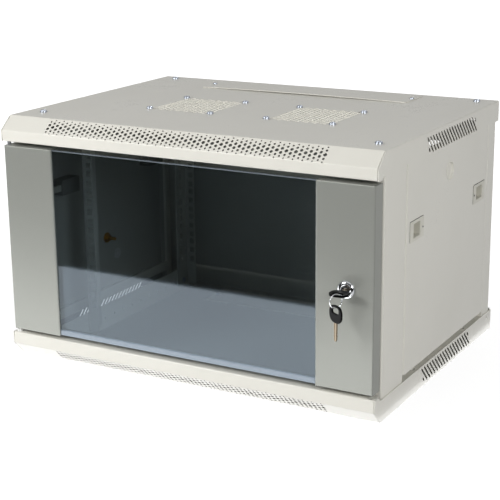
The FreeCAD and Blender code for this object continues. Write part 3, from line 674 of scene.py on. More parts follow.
def bowedCover():
    # a flat plate whose height follows a parabola across the cabinet
    wide, deep = cableCover["half"], (cableCover["rear"] - cableCover["front"]) / 2
    outline = roundedRectangle(0, cableCover["front"] + deep, wide, deep, 1.5)
    fold = Fold([(wide, height + cover), (-wide, height + cover)], cover)
    fold.marks = list(wide - np.linspace(-wide, wide, 27)[1:-1][::-1])
    blank = [(wide - u, v) for u, v in outline]
    plate = foldedSheet(fold, blank, endOn)

    def bow(p):
        rise = cableCover["bow"] * (1 - (p[:, 0] / wide) ** 2) + cableCover["lift"]
        return p + np.stack([0 * rise + cableCover["x"], 0 * rise, rise], 1)

    return plate.moved(bow)


# where cut edges are darkened: partly thin coat, partly painted shade in the fascia holes and side
# slots
bareAndShadedEdges = {"halfWidth": 230.0, "slots": (front + 155.0, front + 366.0), "slotDepth": (5.0, 30.6)}


def bareAndShadedCutEdges(shape, y):
    # cut edges in the fascia and in the side slots get the dark edge colour, partly a thin coat and
    # partly painted shade in the holes and slots, and are painted like the rest elsewhere
    (near, far), (shallow, deep) = bareAndShadedEdges["slots"], bareAndShadedEdges["slotDepth"]
    points = np.concatenate(shape.points)
    depth = np.minimum(points[:, 2], height - points[:, 2])
    fasciaEdge = (points[:, 1] < y) * (abs(points[:, 0]) < bareAndShadedEdges["halfWidth"])
    slotEdge = (abs(points[:, 0]) > half - 2) * (points[:, 1] > near) * (points[:, 1] < far) \
        * (depth > shallow) * (depth < deep)
    dark = fasciaEdge + slotEdge
    shape.edges = [np.where(dark[f[:, 0]], cut, cut * (cut > 1))
                   for f, cut in zip(shape.faces, shape.edges)]
    return shape


makePiece("roofCover", bareAndShadedCutEdges(roofShape(), front + roof["run"]), "cabinet", piercedPaint,
          ["roof_cover"], "cabinet_paint")
makePiece("roofCableCover", bowedCover(), "cabinet", cabinetPaint, ["roof_cable_cover"],
          "cabinet_paint")
print("roof made")

# floor
tray = {"run": 20.7, "rise": 20.5, "lip": 18.2, "skirt": 32.8, "rearSkirt": 35.0,
        "slotTop": 28.0}
ledgeBottom = tray["rise"] + tray["lip"]


def traySkirt(toRear=False):
    # the side plate turned up from the floor
    inner = half - roof["turnIn"]
    fold = Fold([(inner, 0), (half, 0), (half, ledgeBottom)], cover)

    def up(z):
        return fold.at(1, z)

    bendTop = cover + cabinet["insideBend"]
    slope = tray["run"] / tray["rise"]
    y = front + tray["run"]
    outline = [(0, back - 2.6), (0, y + 1.2), (fold.at(0, roof["turnIn"] - 3.0), y + 1.2),
               (up(bendTop), y - bendTop * slope + 0.1), (up(tray["rise"]), front + 0.1),
               (up(ledgeBottom), front + 0.1), (up(ledgeBottom), front + roof["ledgeEnds"] - 6),
               (up(tray["skirt"]), front + roof["ledgeEnds"]), (up(tray["skirt"]), back - 0.1),
               (up(bendTop), back - 0.1), (fold.at(0, roof["turnIn"] - 2.6), back - 2.6)]
    holes = slotHoles(up, tray["slotTop"], toRear)
    holes.append(circle(up(25.0), front + 431, 1.6, 12))    # for a rivet
    return foldedSheet(fold, outline, endOn, holes)


def trayShape():
    # the roof's blank the other way up, with a flat floor and a low rear skirt
    fold = Fold([(front + roof["ledge"], ledgeBottom), (front, ledgeBottom), (front, tray["rise"]),
                 (front + tray["run"], 0), (back, 0), (back, tray["rearSkirt"])], cover)
    wide, inner, mouth = half - roof["seam"], half - roof["turnIn"], roof["between"]
    ends = roof["ledge"] - roof["ledgeEnds"]
    frontBend, rearBend = fold.at(3, 1.2), fold.at(3, back - front - tray["run"] - 2.6)
    outline = steppedOutline([
        (0, mouth), (ends, mouth), (ends, wide - 1), (fold.at(0, roof["ledge"] - 2.6), wide),
        (frontBend, wide), (frontBend, inner), (rearBend, inner), (rearBend, wide),
        (fold.length, wide)])
    slope = math.hypot(tray["run"], tray["rise"])
    holes = fasciaHoles(fold.at(2, slope / 2 - 0.9))
    lap, reach, flat = cableCover["lap"], cableCover["opening"], front + tray["run"]
    holes.append(rectangle(fold.at(3, cableCover["front"] - flat + lap),
                           fold.at(3, cableCover["rear"] - flat - lap), -reach, reach))
    holes += [circle(fold.at(0, front + roof["ledge"] - hinge["y"]), sx * hinge["x"],
                     hinge["bore"], 20) for sx in (-1, 1)]
    return together([foldedSheet(fold, outline, side, holes), traySkirt(),
                     traySkirt(True).mirrored()])


makePiece("floorTray", bareAndShadedCutEdges(trayShape(), front + tray["run"]), "cabinet", piercedPaint,
          ["floor_tray"], "cabinet_paint")
print("floor made")

# posts, sills and braces
posts = {"x": 298.5, "front": front + 24.0, "deep": 72.0, "flange": 270.0, "hook": 286.0,
         "hookDeep": 12.0, "rearFront": front + 411.0, "rearBack": front + 443.0,
         "corner": 271.0, "cornerXs": (-267.5, 273.0), "cornerYs": (front + 60.5, front + 425.0)}


def levelPlate(outline, z, thick, holes=()):
    # a plate that lies flat, its upper face at the height given
    points, faces = cutBlank(outline, holes, [])
    upper = np.column_stack([points, np.full(len(points), z)])
    return twoSkins(upper, upper - [0, 0, thick], faces, marked=False)


def frontPost():
    # a folded channel: front face, outer face, rear face and a lip that the latch bolts catch
    y0, y1 = posts["front"], posts["front"] + posts["deep"]
    fold = Fold([(posts["flange"], y0), (posts["x"], y0), (posts["x"], y1), (posts["hook"], y1),
                 (posts["hook"], y1 - posts["hookDeep"])], sheet)
    return together([foldedSheet(fold, rectangle(0, fold.length, cover, height - cover), plan),
                     *postTabs(posts["cornerYs"][0])])


def postTabs(y):
    # the tabs that the corner screws hold, one at the foot and one at the head
    outline = rectangle(262, posts["x"] - 1.6, y - 11, y + 11)
    hole = [circle(posts["corner"], y, 2.6)]
    return [levelPlate(outline, cover + sheet, sheet, hole),
            levelPlate(outline, height - cover, sheet, hole)]


def rearPost():
    # a folded channel whose rear face carries the back panel
    y0, y1 = posts["rearFront"], posts["rearBack"]
    fold = Fold([(posts["hook"], y0 + posts["hookDeep"]), (posts["hook"], y0), (posts["x"], y0),
                 (posts["x"], y1), (posts["hook"] - 11, y1)], sheet, (0.5, 0.4, 1.3))
    bores = [circle(fold.at(3, posts["x"] - 281), z, 2.6) for z in (62.0, height - 62.0)]
    return together([foldedSheet(fold, rectangle(0, fold.length, cover, height - cover), plan,
                                 bores), *postTabs(posts["cornerYs"][1])])


sill = {"top": 31.5, "flange": 15.5, "hooks": (front + 148.0, front + 347.0)}


def lowerSill():
    # an angle between the posts, with a slot for each foot hook of the side panel
    y0, y1 = posts["front"] + posts["deep"] + 0.3, posts["rearFront"] - 0.3
    x = posts["hook"] - 2
    fold = Fold([(posts["x"], sill["top"]), (x, sill["top"]), (x, sill["top"] + sill["flange"])],
                sheet, 0.4)
    slots = [rectangle(fold.at(0, posts["x"] - posts["hook"] - 8),
                       fold.at(0, posts["x"] - posts["hook"] - 2), y - 6, y + 6)
             for y in sill["hooks"]]
    return foldedSheet(fold, rectangle(0, fold.length, y0, y1), endOn, slots)


rails = {"inner": 225.4, "outer": 244.4, "side": 33.0, "column": 465.1 / 2, "hole": 9.5,
         "end": 11.5, "frontY": front + 116.0, "rearY": front + 410.0, "boltZ": 20.8,
         "boltBack": 15.0, "units": 6, "unit": 44.45, "unitHoles": (6.35, 22.225, 38.1)}
brace = {"tall": 42.0, "foot": 261.5, "front": front + 50.0, "holePitch": 25.4, "hole": 2.1,
         "count": 11}


def lowerBrace():
    # an angle with a row of small holes along its web
    y0, y1 = brace["front"], posts["rearBack"] - 3
    fold = Fold([(rails["outer"], brace["tall"]), (rails["outer"], cover), (brace["foot"], cover)],
                sheet, 0.6)
    middle = (rails["frontY"] + rails["rearY"]) / 2
    along = fold.at(0, brace["tall"] - rails["boltZ"])
    holes = [circle(along, middle + (i - (brace["count"] - 1) / 2) * brace["holePitch"],
                    brace["hole"], 12) for i in range(brace["count"])]
    holes += [circle(along, y, 2.9) for y in (rails["frontY"] + rails["boltBack"],
                                             rails["rearY"] - rails["boltBack"])]
    return foldedSheet(fold, rectangle(0, fold.length, y0, y1), endOn, holes)


def holeHeights():
    # three holes in every unit, from the lowest one up
    first = (height - rails["units"] * rails["unit"]) / 2
    return [first + rails["unit"] * n + z for n in range(rails["units"])
            for z in rails["unitHoles"]]


def frontRail():
    # square holes in the face, and a taller slot beside each in the flange
    y = rails["frontY"]
    fold = Fold([(rails["inner"], y), (rails["outer"], y), (rails["outer"], y + rails["side"])],
                cabinet["railSheet"], 0.8)
    face, flange, s = fold.at(0, rails["column"] - rails["inner"]), fold.at(1, 19.0), rails["hole"] / 2
    holes = []
    for z in holeHeights():
        holes.append(roundedRectangle(face, z, s, s, 0.6, 2))
        holes.append(roundedRectangle(flange, z, 3.6, s, 0.8, 2))
    holes += [circle(fold.at(1, rails["boltBack"]), z, 2.9)
              for z in (rails["boltZ"], height - rails["boltZ"])]
    return foldedSheet(fold, rectangle(0, fold.length, rails["end"], height - rails["end"]), plan,
                       holes)


def turnedAbout(shape, y):
    # mirrored front to back in the plane at y
    return shape.moved(lambda p: p * [1, -1, 1] + [0, 2 * y, 0], True)


railMiddle = (rails["frontY"] + rails["rearY"]) / 2
handed = {
    "frontPost": ("front_post", frontPost(), cabinetPaint, "cabinet_paint"),
    "rearPost": ("rear_post", rearPost(), cabinetPaint, "cabinet_paint"),
    "lowerSill": ("lower_sill", lowerSill(), cabinetPaint, "cabinet_paint"),
    "upperSill": ("upper_sill", lowerSill().upsideDown(), cabinetPaint, "cabinet_paint"),
    "lowerBrace": ("lower_brace", lowerBrace(), cabinetPaint, "cabinet_paint"),
    "upperBrace": ("upper_brace", lowerBrace().upsideDown(), cabinetPaint, "cabinet_paint"),
    "frontRail": ("front_rail", frontRail(), railPaint, "rail_paint"),
    "rearRail": ("rear_rail", turnedAbout(frontRail(), railMiddle), railPaint, "rail_paint"),
}
for name, (node, shape, material, slot) in handed.items():
    makePiece(name + "Right", shape, "cabinet", material, [node + "_right"], slot)
    makePiece(name + "Left", shape.mirrored(), "cabinet", material, [node + "_left"], slot)
print("frame made")

# side panels
panel = {"x": 298.9, "front": front + 97.0, "rear": front + 410.2, "bottom": 41.0,
         "top": height - roof["skirt"] - 0.4, "turnIn": 10.0, "bends": (1.8, 0.5)}
latch = {"z": 240.0, "ys": (front + 132.0, front + 375.0), "long": 24.0, "tall": 14.5,
         "cutOut": (20.2, 23.2, 12.2), "spring": (9.5, 21.5), "springR": 2.4, "springWire": 0.32,
         "springDepth": 14.4, "travel": 6.0}
holePlug = {"y": front + 253.0, "z": 297.0, "r": 13.5}


def sidePanel():
    # a pan with folded ends, a shelf at the foot and the head, and two hooks under the foot
    x0, x1, y0, y1 = panel["x"] - panel["turnIn"], panel["x"], panel["front"], panel["rear"]
    z0, z1 = panel["bottom"], panel["top"]
    fold = Fold([(x0, y0), (x1, y0), (x1, y1), (x0, y1)], cover, panel["bends"], 8)
    short, long, tall = latch["cutOut"]
    ways = [(latch["ys"][0] - short, latch["ys"][0] + long),
            (latch["ys"][1] - long, latch["ys"][1] + short)]
    holes = [rectangle(fold.at(1, a - y0), fold.at(1, b - y0), latch["z"] - tall, latch["z"] + tall)
             for a, b in ways]
    holes.append(circle(fold.at(1, holePlug["y"] - y0), holePlug["z"], holePlug["r"], 32))
    skin = foldedSheet(fold, rectangle(0, fold.length, z0, z1), plan, holes)
    edge = rectangle(x0, x1 - cover - 0.05, y0 + cover + 0.1, y1 - cover - 0.1)
    shelves = [levelPlate(edge, z, cover) for z in (z0 + cover, z1)]
    hooks = [levelPlate(rectangle(posts["hook"] + 4, posts["hook"] + 4 + cover, y - 4, y + 4),
                        z0 + 0.1, z0 - sill["top"] + 5) for y in sill["hooks"]]
    return together([skin] + shelves + hooks)


makePiece("sidePanelRight", sidePanel(), "cabinet", panelPaint, ["side_panel_right"],
          "cabinet_paint")
makePiece("sidePanelLeft", sidePanel().mirrored(), "cabinet", panelPaint, ["side_panel_left"],
          "cabinet_paint")


def plugShape():
    # a cap with a rolled rim and a shallow dish
    r = holePlug["r"]
    return turned((panel["x"], holePlug["y"], holePlug["z"]), (1, 0, 0),
                  [(-5.0, 0), (-5.0, r - 0.6), (0, r - 0.4), (0, r + 1.3), (0.35, r + 1.5),
                   (0.65, r + 1.3), (0.8, r + 0.6), (0.75, r - 0.2), (0.45, r - 0.9),
                   (-2.4, r - 1.6), (-3.4, r - 2.6), (-3.8, r - 5.0), (-3.8, 0)], 64)


makePiece("lockHolePlugs", together([plugShape(), plugShape().mirrored()]), "cabinet",
          cabinetPaint, ["lock_hole_plugs"], "cabinet_paint")
print("side panels made")


# Latches are drawn with depth along X from the panel's face and the travel along Y.
def faced(y, z, depth):
    return np.stack([depth, y, z], -1)


def latchHousing():
    # a thin plate round the window, its far end crowned, and the box behind the panel
    long, tall = latch["long"], latch["tall"]
    window = (-0.25, 0.0, 12.25, 10.0, 1.2)
    plate = lofted([(0, 0, long - 0.5, tall - 0.5, 1.6, -0.05),
                    (0, 0, long - 0.5, tall - 0.5, 1.6, 0.3),
                    (0, 0, long, tall, 2.0, 0.3), (0, 0, long, tall, 2.0, 0.6),
                    (0, 0, long - 0.3, tall - 0.3, 1.8, 0.8), (*window[:2], 12.55, 10.3, 1.4, 0.8),
                    (*window, 0.5), (*window, -0.9), (0, 0, 20, 12, 1.0, -0.9),
                    (0, 0, 20, 12, 1.0, -0.05), (0, 0, long - 0.5, tall - 0.5, 1.6, -0.05)],
                   faced)

    def crown(p):
        # the end past the window rises in a low arch
        across = np.clip((p[:, 1] - 13.2) / 10.4, 0, 1)
        rise = 0.28 * np.sin(math.pi * across) * (p[:, 0] > 0.5)
        return p + np.stack([rise, 0 * rise, 0 * rise], 1)

    rim = lofted([(1.5, 0, 21.5, 12, 1.5, -0.9), (1.5, 0, 20.0, 10.5, 1.0, -0.9),
                  (1.5, 0, 20.0, 10.5, 1.0, -18.4), (1.5, 0, 0.01, 0.01, 0.01, -18.4)], faced)
    shell = lofted([(1.5, 0, 21.5, 12, 1.5, -0.9), (1.5, 0, 21.5, 12, 1.5, -19.9),
                    (1.5, 0, 0.01, 0.01, 0.01, -19.9)], faced)
    return plate.moved(crown), rim.join(shell)


def latchShadowRing():
    # a thin dark ring along the plate's rim, painted shade standing for the shadow gap between plate
    # and panel
    long, tall = latch["long"], latch["tall"]
    inner, outer = (0, 0.1, long - 1, tall - 1, 1.4), (0, 0.3, long + 0.1, tall + 0.3, 2.2)
    return lofted([(*inner, 0.0), (*inner, 0.35), (*outer, 0.35), (*outer, 0.0), (*inner, 0.0)],
                  faced)


def latchDot():
    # the small blind hole beside the window, drawn as a dark cup whose colour is painted shade of the
    # hole
    return turned((0.0, 20.3, -0.8), (1, 0, 0), [(0.6, 0), (0.6, 1.25), (1.16, 1.25), (1.16, 1.0),
                                                (0.9, 0.8), (0.85, 0)], 20)


def flipY(shape):
    return shape.moved(lambda p: p * [1, -1, 1], True)


def placeLatch(shape, x, end):
    # the rear latches are the front ones turned about, and the left ones are the right ones
    # mirrored
    shape = flipY(shape) if end else shape
    shape = shape.moved(lambda p: p + [panel["x"], latch["ys"][end], latch["z"]])
    return shape.mirrored() if x < 0 else shape


def sliderShape():
    # a finger well with a rolled edge, the block behind it and the bolt that reaches the post
    cup = lofted([(-0.5, 0, 14.0, 10.2, 1.2, -11.0), (-0.5, 0, 14.0, 10.2, 1.2, -1.0),
                  (-0.5, 0, 13.5, 9.9, 1.0, -0.3), (-0.5, 0, 12.4, 9.5, 1.0, -0.3),
                  (-0.5, 0, 12.0, 9.2, 1.2, -0.8), (-0.3, 0, 11.4, 8.8, 1.6, -8.2),
                  (-0.3, 0, 10.4, 7.8, 1.6, -9.3), (-0.3, 0, 8.0, 5.6, 1.6, -9.5),
                  (-0.3, 0, 0.01, 0.01, 0.01, -9.5)], faced)
    under = lofted([(-0.5, 0, 0.01, 0.01, 0.01, -11.0), (-0.5, 0, 14.0, 10.2, 1.2, -11.0)], faced)
    block = lofted([(0.25, 0, 0.01, 0.01, 0.01, -17.2), (0.25, 0, 9.25, 8, 0.8, -17.2),
                    (0.25, 0, 9.25, 8, 0.8, -11.0), (0.25, 0, 0.01, 0.01, 0.01, -11.0)], faced)
    bolt = lofted([(-25, 0, 0.01, 0.01, 0.01, -17.2), (-25, 0, 15.6, 4.6, 0.5, -17.2),
                   (-25, 0, 16, 5, 0.8, -16.8), (-25, 0, 16, 5, 0.8, -13.8),
                   (-25, 0, 15.6, 4.6, 0.5, -13.4), (-25, 0, 0.01, 0.01, 0.01, -13.4)], faced)
    return cup.join(under).join(block).join(bolt)


def coil(start, end, r, wireR, turns, flatEnds=0.6):
    # a helix whose first and last turns lie flat
    start, end = np.array(start, float), np.array(end, float)
    u, v, w = frameOf(end - start)
    t = np.linspace(0, 1, int(turns * 18))
    rise = smoothStep(t, 0, 1) * flatEnds + t * (1 - flatEnds)
    room = np.linalg.norm(end - start) - 2 * wireR
    turn = t * turns * 2 * math.pi
    path = start + w * (wireR + rise * room)[:, None] \
        + r * (np.cos(turn)[:, None] * u + np.sin(turn)[:, None] * v)
    return wire(path, wireR, 8)


housings, boxes, shadeMarks = Shape(), Shape(), Shape()
for sideName, x in (("Left", -1), ("Right", 1)):
    for endName, end in (("Front", 0), ("Rear", 1)):
        node = f"{sideName.lower()}_{endName.lower()}"
        plate, box = latchHousing()
        housings.join(placeLatch(plate, x, end))
        boxes.join(placeLatch(box, x, end))
        shadeMarks.join(placeLatch(latchDot(), x, end)).join(placeLatch(latchShadowRing(), x, end))
        makePiece(f"latchSlider{sideName}{endName}", placeLatch(sliderShape(), x, end),
                  f"latch_{node}", sliderShadedPlastic, [f"latch_slider_{node}"], "latch_plastic")
        near, far = latch["spring"]
        depth = -latch["springDepth"]
        spring = placeLatch(coil((depth, near, 0), (depth, far, 0), latch["springR"],
                                 latch["springWire"], 6.5), x, end)
        spring = makePiece(f"latchSpring{sideName}{endName}", spring, "cabinet", springSteel,
                           [f"latch_spring_{node}"], "spring_steel")
        stop = latch["ys"][end] + (-far if end else far)
        x * panel["x"] * 0.001
        stop * 0.001
        latch["z"] * 0.001
        1 - latch["travel"] / (far - near)
        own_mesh(spring)
makePiece("latchHousings", housings, "cabinet", latchPlastic, ["latch_housings"], "latch_plastic")
makePiece("latchBoxes", boxes, "cabinet", boxPlastic)
# dark rings and dots on the latch plates: painted shade of the gap round each plate and of its blind
# hole
makePiece("latchShadeMarks", shadeMarks, "cabinet", sealFoamAndShade)
print("latches made")

# rear panel and the earth sign
rearPanel = {"half": 290.0, "bottom": 36.2, "top": height - 32.0, "slotX": 200.0, "slotZ": 110.0,
             "slotHalf": 5.0, "slit": 0.6, "pressed": 0.4, "screwX": 281.0, "screwZ": 62.0}


def across(x, z, y):
    return np.stack([x, y, z], -1)


def rearShape():
    # slots for wall screws above; the lower two still hold their pressed blanks
    y, r, half, middle = posts["rearBack"], rearPanel["slotHalf"], rearPanel["half"], height / 2
    fold = Fold([(half, y), (-half, y)], cover)
    screwZ = rearPanel["screwZ"]
    holes = [circle(half - sx * rearPanel["screwX"], z, 2.4) for sx in (-1, 1)
             for z in (screwZ, height - screwZ)]
    blanks = []
    for x in (-rearPanel["slotX"], rearPanel["slotX"]):
        high, low = middle + rearPanel["slotZ"], middle - rearPanel["slotZ"]
        holes.append(slantedSlot((half - x - r, high), (half - x + r, high), 2 * r, 8))
        skin = slantedSlot((half - x - r, low), (half - x + r, low), 2 * r - rearPanel["slit"], 8)
        thin = Fold([(half, y + cover), (-half, y + cover)], rearPanel["pressed"])
        blanks.append(foldedSheet(thin, skin, lambda x, y, t: across(x, t, y + 0.35)))
    return together([foldedSheet(fold, rectangle(0, 2 * half, rearPanel["bottom"],
                                                 rearPanel["top"]),
                                 lambda x, y, t: across(x, t, y + cover), holes), *blanks])


makePiece("rearPanel", rearShape(), "cabinet", panelPaint, ["rear_panel"], "cabinet_paint")

earthSign = {"y": front + 277.0, "z": 92.0, "r": 8.2, "line": 1.5, "proud": 0.35}


def bar(y, z, long, tall):
    # a low bar with bevelled edges on the left panel's inner face
    a, b, x = long / 2, tall / 2, -panel["x"] + cover
    return lofted([(y, z, a, b, 0.2, x - 0.2), (y, z, a, b, 0.2, x + earthSign["proud"] * 0.6),
                   (y, z, a - 0.2, b - 0.2, 0.1, x + earthSign["proud"]),
                   (y, z, 0.01, 0.01, 0.01, x + earthSign["proud"])], faced)


def signShape():
    # a ring round the common sign for earth: a stem on three bars, each shorter than the last
    y, z, r, w = (earthSign[k] for k in ("y", "z", "r", "line"))
    x, h = -panel["x"] + cover, earthSign["proud"]
    ringShape = turned((x, y, z), (1, 0, 0), [(-0.2, r - w), (h, r - w), (h, r), (-0.2, r),
                                              (-0.2, r - w)], 48)
    bars = [bar(y, z + 2.6, w, 4.6)] + [bar(y, z + 0.1 - 2.0 * k, 8.4 - 2.8 * k, w)
                                       for k in range(3)]
    return together([ringShape] + bars)


makePiece("earthSign", signShape(), "cabinet", whiteNylon)
print("rear panel made")

# screws
upward, sides = (0, 0, 1), (-1, 1)
fanScrews = [(x + sx * roof["fanScrew"], roof["fanY"] + sy * roof["fanScrew"], height)
             for x in roof["fans"] for sx in sides for sy in sides]
corners = [(x, y) for x in posts["cornerXs"] for y in posts["cornerYs"]]
cableY = (cableCover["front"] + cableCover["rear"]) / 2
cableRise = cableCover["bow"] * (1 - (cableCover["screwX"] / cableCover["half"]) ** 2)
# head radius, head height and shank length, and last how far the cross is turned
heads = {"fan": (5.0, 3.3, 6.0), "corner": (5.3, 3.4, 8.0), "foot": (4.4, 2.6, 2.7),
         "cable": (3.6, 2.0, 4.0), "cableFoot": (3.6, 2.0, 2.4), "rear": (4.0, 2.0, 7.0),
         "rail": (4.4, 2.4, 6.0)}
cableTop = height + cover + cableRise + 0.1
rearScrewZs = (rearPanel["screwZ"], height - rearPanel["screwZ"])
railFace = rails["outer"] - cabinet["railSheet"]
railYs = (rails["frontY"] + rails["boltBack"], rails["rearY"] - rails["boltBack"])
railZs = (rails["boltZ"], height - rails["boltZ"])
screwSets = {
    "fan_blank_screws": [panScrew(p, upward, *heads["fan"], 37 * i)
                         for i, p in enumerate(fanScrews)],
    "corner_screws": [panScrew((x, y, height), upward, *heads["corner"], 23 * i + 9)
                      for i, (x, y) in enumerate(corners)]
    + [panScrew((x, y, cover + sheet), upward, *heads["foot"], 31 * i)
       for i, (x, y) in enumerate(corners)],
    "cable_cover_screws": [panScrew((cableCover["x"] + sx * cableCover["screwX"], cableY, cableTop),
                                    upward, *heads["cable"], 40 * sx) for sx in sides]
    + [panScrew((sx * cableCover["screwX"], cableY, 2 * cover), upward, *heads["cableFoot"], 15)
       for sx in sides],
    "rear_panel_screws": [panScrew((sx * rearPanel["screwX"], posts["rearBack"] + cover, z),
                                   (0, 1, 0), *heads["rear"], sx * z)
                          for sx in sides for z in rearScrewZs],
    "rail_screws": [panScrew((sx * railFace, y, z), (-sx, 0, 0), *heads["rail"], y + z)
                    for sx in sides for y in railYs for z in railZs],
}
for node, shapes in screwSets.items():
    first, *rest = node.split("_")
    makePiece(first + "".join(word.title() for word in rest), together(shapes), "cabinet",
              screwZinc, [node], "zinc_screws")
print("screws made")

# door
door = {"half": 296.4, "gap": 5.6, "deep": 22.0, "strip": 84.5, "bend": 0.8, "turnIn": 6.0,
        "glassFront": 3.0, "glassThick": 5.0, "glassHalf": 232.0, "glassGap": 1.5}
doorBottom, doorTop = ledgeBottom + door["gap"], ledgeTop - door["gap"]
lock = {"x": 257.0, "z": (doorBottom + doorTop) / 2, "bezel": 12.5, "barrel": 9.3, "plug": 6.0}


def doorStrip(hole=None):
    # the face with its outer and inner returns, and a flange folded in at the top and the bottom
    inner, outer, step = door["half"] - door["strip"], door["half"], door["turnIn"]
    fold = Fold([(inner, front + door["glassFront"]), (inner, front), (outer, front),
                 (outer, front + door["deep"])], cover, door["bend"], 6)
    a, b = fold.at(1, 2.2), fold.at(1, door["strip"] - 2.4)
    low, high, tip = doorBottom, doorTop, 0.4
    outline = [(0, low + tip), (a, low + tip), (a, low + step), (b, low + step), (b, low + tip),
               (fold.length, low + tip), (fold.length, high - tip), (b, high - tip),
               (b, high - step), (a, high - step), (a, high - tip), (0, high - tip)]
    holes = [circle(fold.at(1, lock["x"] - inner), lock["z"], lock["barrel"], 32)] if hole else []
    skin = foldedSheet(fold, outline, plan, holes)
    upper = Fold([(front, high - step), (front, high), (front + door["deep"], high)][::-1], cover,
                 door["bend"], 6)
    flange = foldedSheet(upper, rectangle(0, upper.length, inner + 2.2, outer - 2.4), side)
    lower = flange.moved(lambda p: p * [1, 1, -1] + [0, 0, low + high], True)
    return together([skin, flange, lower])


pinBracket = levelPlate(rectangle(-door["half"] + cover, hinge["x"] + 9, front + cover,
                                  hinge["y"] + 7), doorTop - hinge["bracket"], 1.5,
                        [circle(hinge["x"], hinge["y"], hinge["bracketBore"], 24)])
makePiece("doorStripRight", doorStrip(True), "door", doorPaint, ["door_strip_right"], "door_paint")
makePiece("doorStripLeft", doorStrip().mirrored().join(pinBracket), "door", doorPaint,
          ["door_strip_left"], "door_paint")


def paneShape():
    # a pane with ground edges
    y0, y1, e = front + door["glassFront"], front + door["glassFront"] + door["glassThick"], 0.7
    middle, tall = (doorBottom + doorTop) / 2, (doorTop - doorBottom) / 2 - door["glassGap"]
    wide = door["glassHalf"]
    pane = lofted([(0, middle, 0.01, 0.01, 0.01, y1), (0, middle, wide - e, tall - e, 0.5, y1),
                   (0, middle, wide, tall, 0.5, y1 - e), (0, middle, wide, tall, 0.5, y0 + e),
                   (0, middle, wide - e, tall - e, 0.5, y0), (0, middle, 0.01, 0.01, 0.01, y0)],
                  across)
    points, faces = pane.points[0], pane.faces[0]
    a, b, c = (points[faces[:, k]] for k in range(3))
    pane.edges = [(abs(unit(np.cross(b - a, c - a))[:, 1]) < 0.9).astype(float)]
    return pane


# the edge colour makes the ground edges pale blue, partly their frosting and partly a painted
# highlight; the band share paints a pale strip along the bottom as a painted highlight
glassLook = {"tint": (212, 218, 222), "edge": (178, 190, 203), "skin": (0.78, 0.885, 1, 1),
             "margin": 9.0, "band": 0.6, "rim": 0.35, "mirror": 0.045, "rough": 0.02,
             "smear": 0.02, "groundRough": 0.4}


def tintedGlass():
    # a tint, a glossy skin, pale bluish ground edges that also serve as a painted edge highlight, and
    # a pale band along the bottom that is a painted highlight; the mirror
    #     # grows with the fifth power of how far the face turns away
    g = Graph("tintedGlass")
    smear = g.noise(9.0, 4.0, 0.6)
    through = g.node("ShaderNodeBsdfTransparent", {}, {"Color": linear(*glassLook["tint"])})
    skin = g.node("ShaderNodeBsdfGlossy", {}, {"Color": glassLook["skin"],
                                               "Roughness": smear * glassLook["smear"]
                                               + glassLook["rough"]})
    facing = g.node("ShaderNodeLayerWeight", {}, {"Blend": 0.5}, output="Facing")
    mirror = facing.maths("POWER", 5.0) * (1 - glassLook["mirror"]) + glassLook["mirror"]
    clear = g.node("ShaderNodeMixShader", {}, {0: mirror, 1: through, 2: skin})
    groundAndHighlightShader = g.principled({"Base Color": linear(*glassLook["edge"]),
                           "Roughness": glassLook["groundRough"]})
    cut = g.node("ShaderNodeAttribute", {"attribute_name": "cutEdge"}, output="Fac")
    up = g.node("ShaderNodeSeparateXYZ", {}, {0: g.coordinates()}, output="Z")
    # a pale band along the bottom of the pane: painted highlight
    band = 1 - (up > (doorBottom + glassLook["margin"]) * 0.001)
    groundAndHighlightShare = cut * glassLook["rim"] + band * glassLook["band"]
    return g.finish(g.node("ShaderNodeMixShader", {}, {0: groundAndHighlightShare, 1: clear, 2: groundAndHighlightShader}))


makePiece("doorGlass", paneShape(), "door", tintedGlass(), ["door_glass"], "tinted_glass", 20.0)
print("door made")


def hingeSpring():
    # a coil round the upper pin, standing on the door's bracket
    low, high = (np.array(corner) * 1000 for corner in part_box("upper_hinge_spring"))
    wireR = hinge["springWire"]
    r = (high[0] - low[0]) / 2 - wireR
    x, y = (low[:2] + high[:2]) / 2
    spring = makePiece("upperHingeSpring", coil((x, y, low[2]), (x, y, high[2]), r, wireR, 6.5),
                       "door", springSteel, ["upper_hinge_spring"], "spring_steel")
    1 - hinge["pull"] / (high[2] - low[2])
    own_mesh(spring)


hingeSpring()


# lock and keys
def bezelShape():
    # a domed collar that dips to the plug, with the threaded body behind it
    thread = [(2.5 + 0.5 * k, lock["barrel"] - (0.15 if k % 2 else 0.55)) for k in range(45)]
    return turned((lock["x"], front, lock["z"]), (0, 1, 0),
                  [(-2.4, lock["plug"] + 0.06), (-3.4, 6.6), (-3.9, 7.6), (-4.0, 8.8), (-3.8, 9.8),
                   (-3.2, 10.9), (-2.2, 11.8), (-1.1, 12.3), (-0.4, lock["bezel"]), (0.0, 12.3),
                   (0.0, lock["barrel"] - 0.1), (2.0, lock["barrel"] - 0.1), *thread,
                   (25.0, 8.6), (25.0, lock["plug"] + 0.06), (-2.4, lock["plug"] + 0.06)], 64)


makePiece("lockBezel", bezelShape(), "door", lockChrome, ["lock_barrel"], "lock_chrome")

key = {"wide": 5.8, "thick": 2.2, "long": 24.0, "bowWide": 27.0, "bowLong": 24.0, "bowThick": 3.0,
       "bar": 2.6, "slot": 8.4, "slotWide": 15.0, "near": front - 8.0,
       "cutsAt": [0, 3.2, 3.9, 5.4, 6.1, 7.6, 8.3, 9.8, 10.5, 12.0, 12.7, 14.2, 15, 40],
       "cuts": [0.35, 1.0, 0.78, 0.78, 0.98, 0.98, 0.7, 0.7, 0.96, 0.96, 0.8, 0.8, 1, 1]}
ring = {"r": 9.5, "wire": 0.75, "play": 0.5, "turn": 60.0}


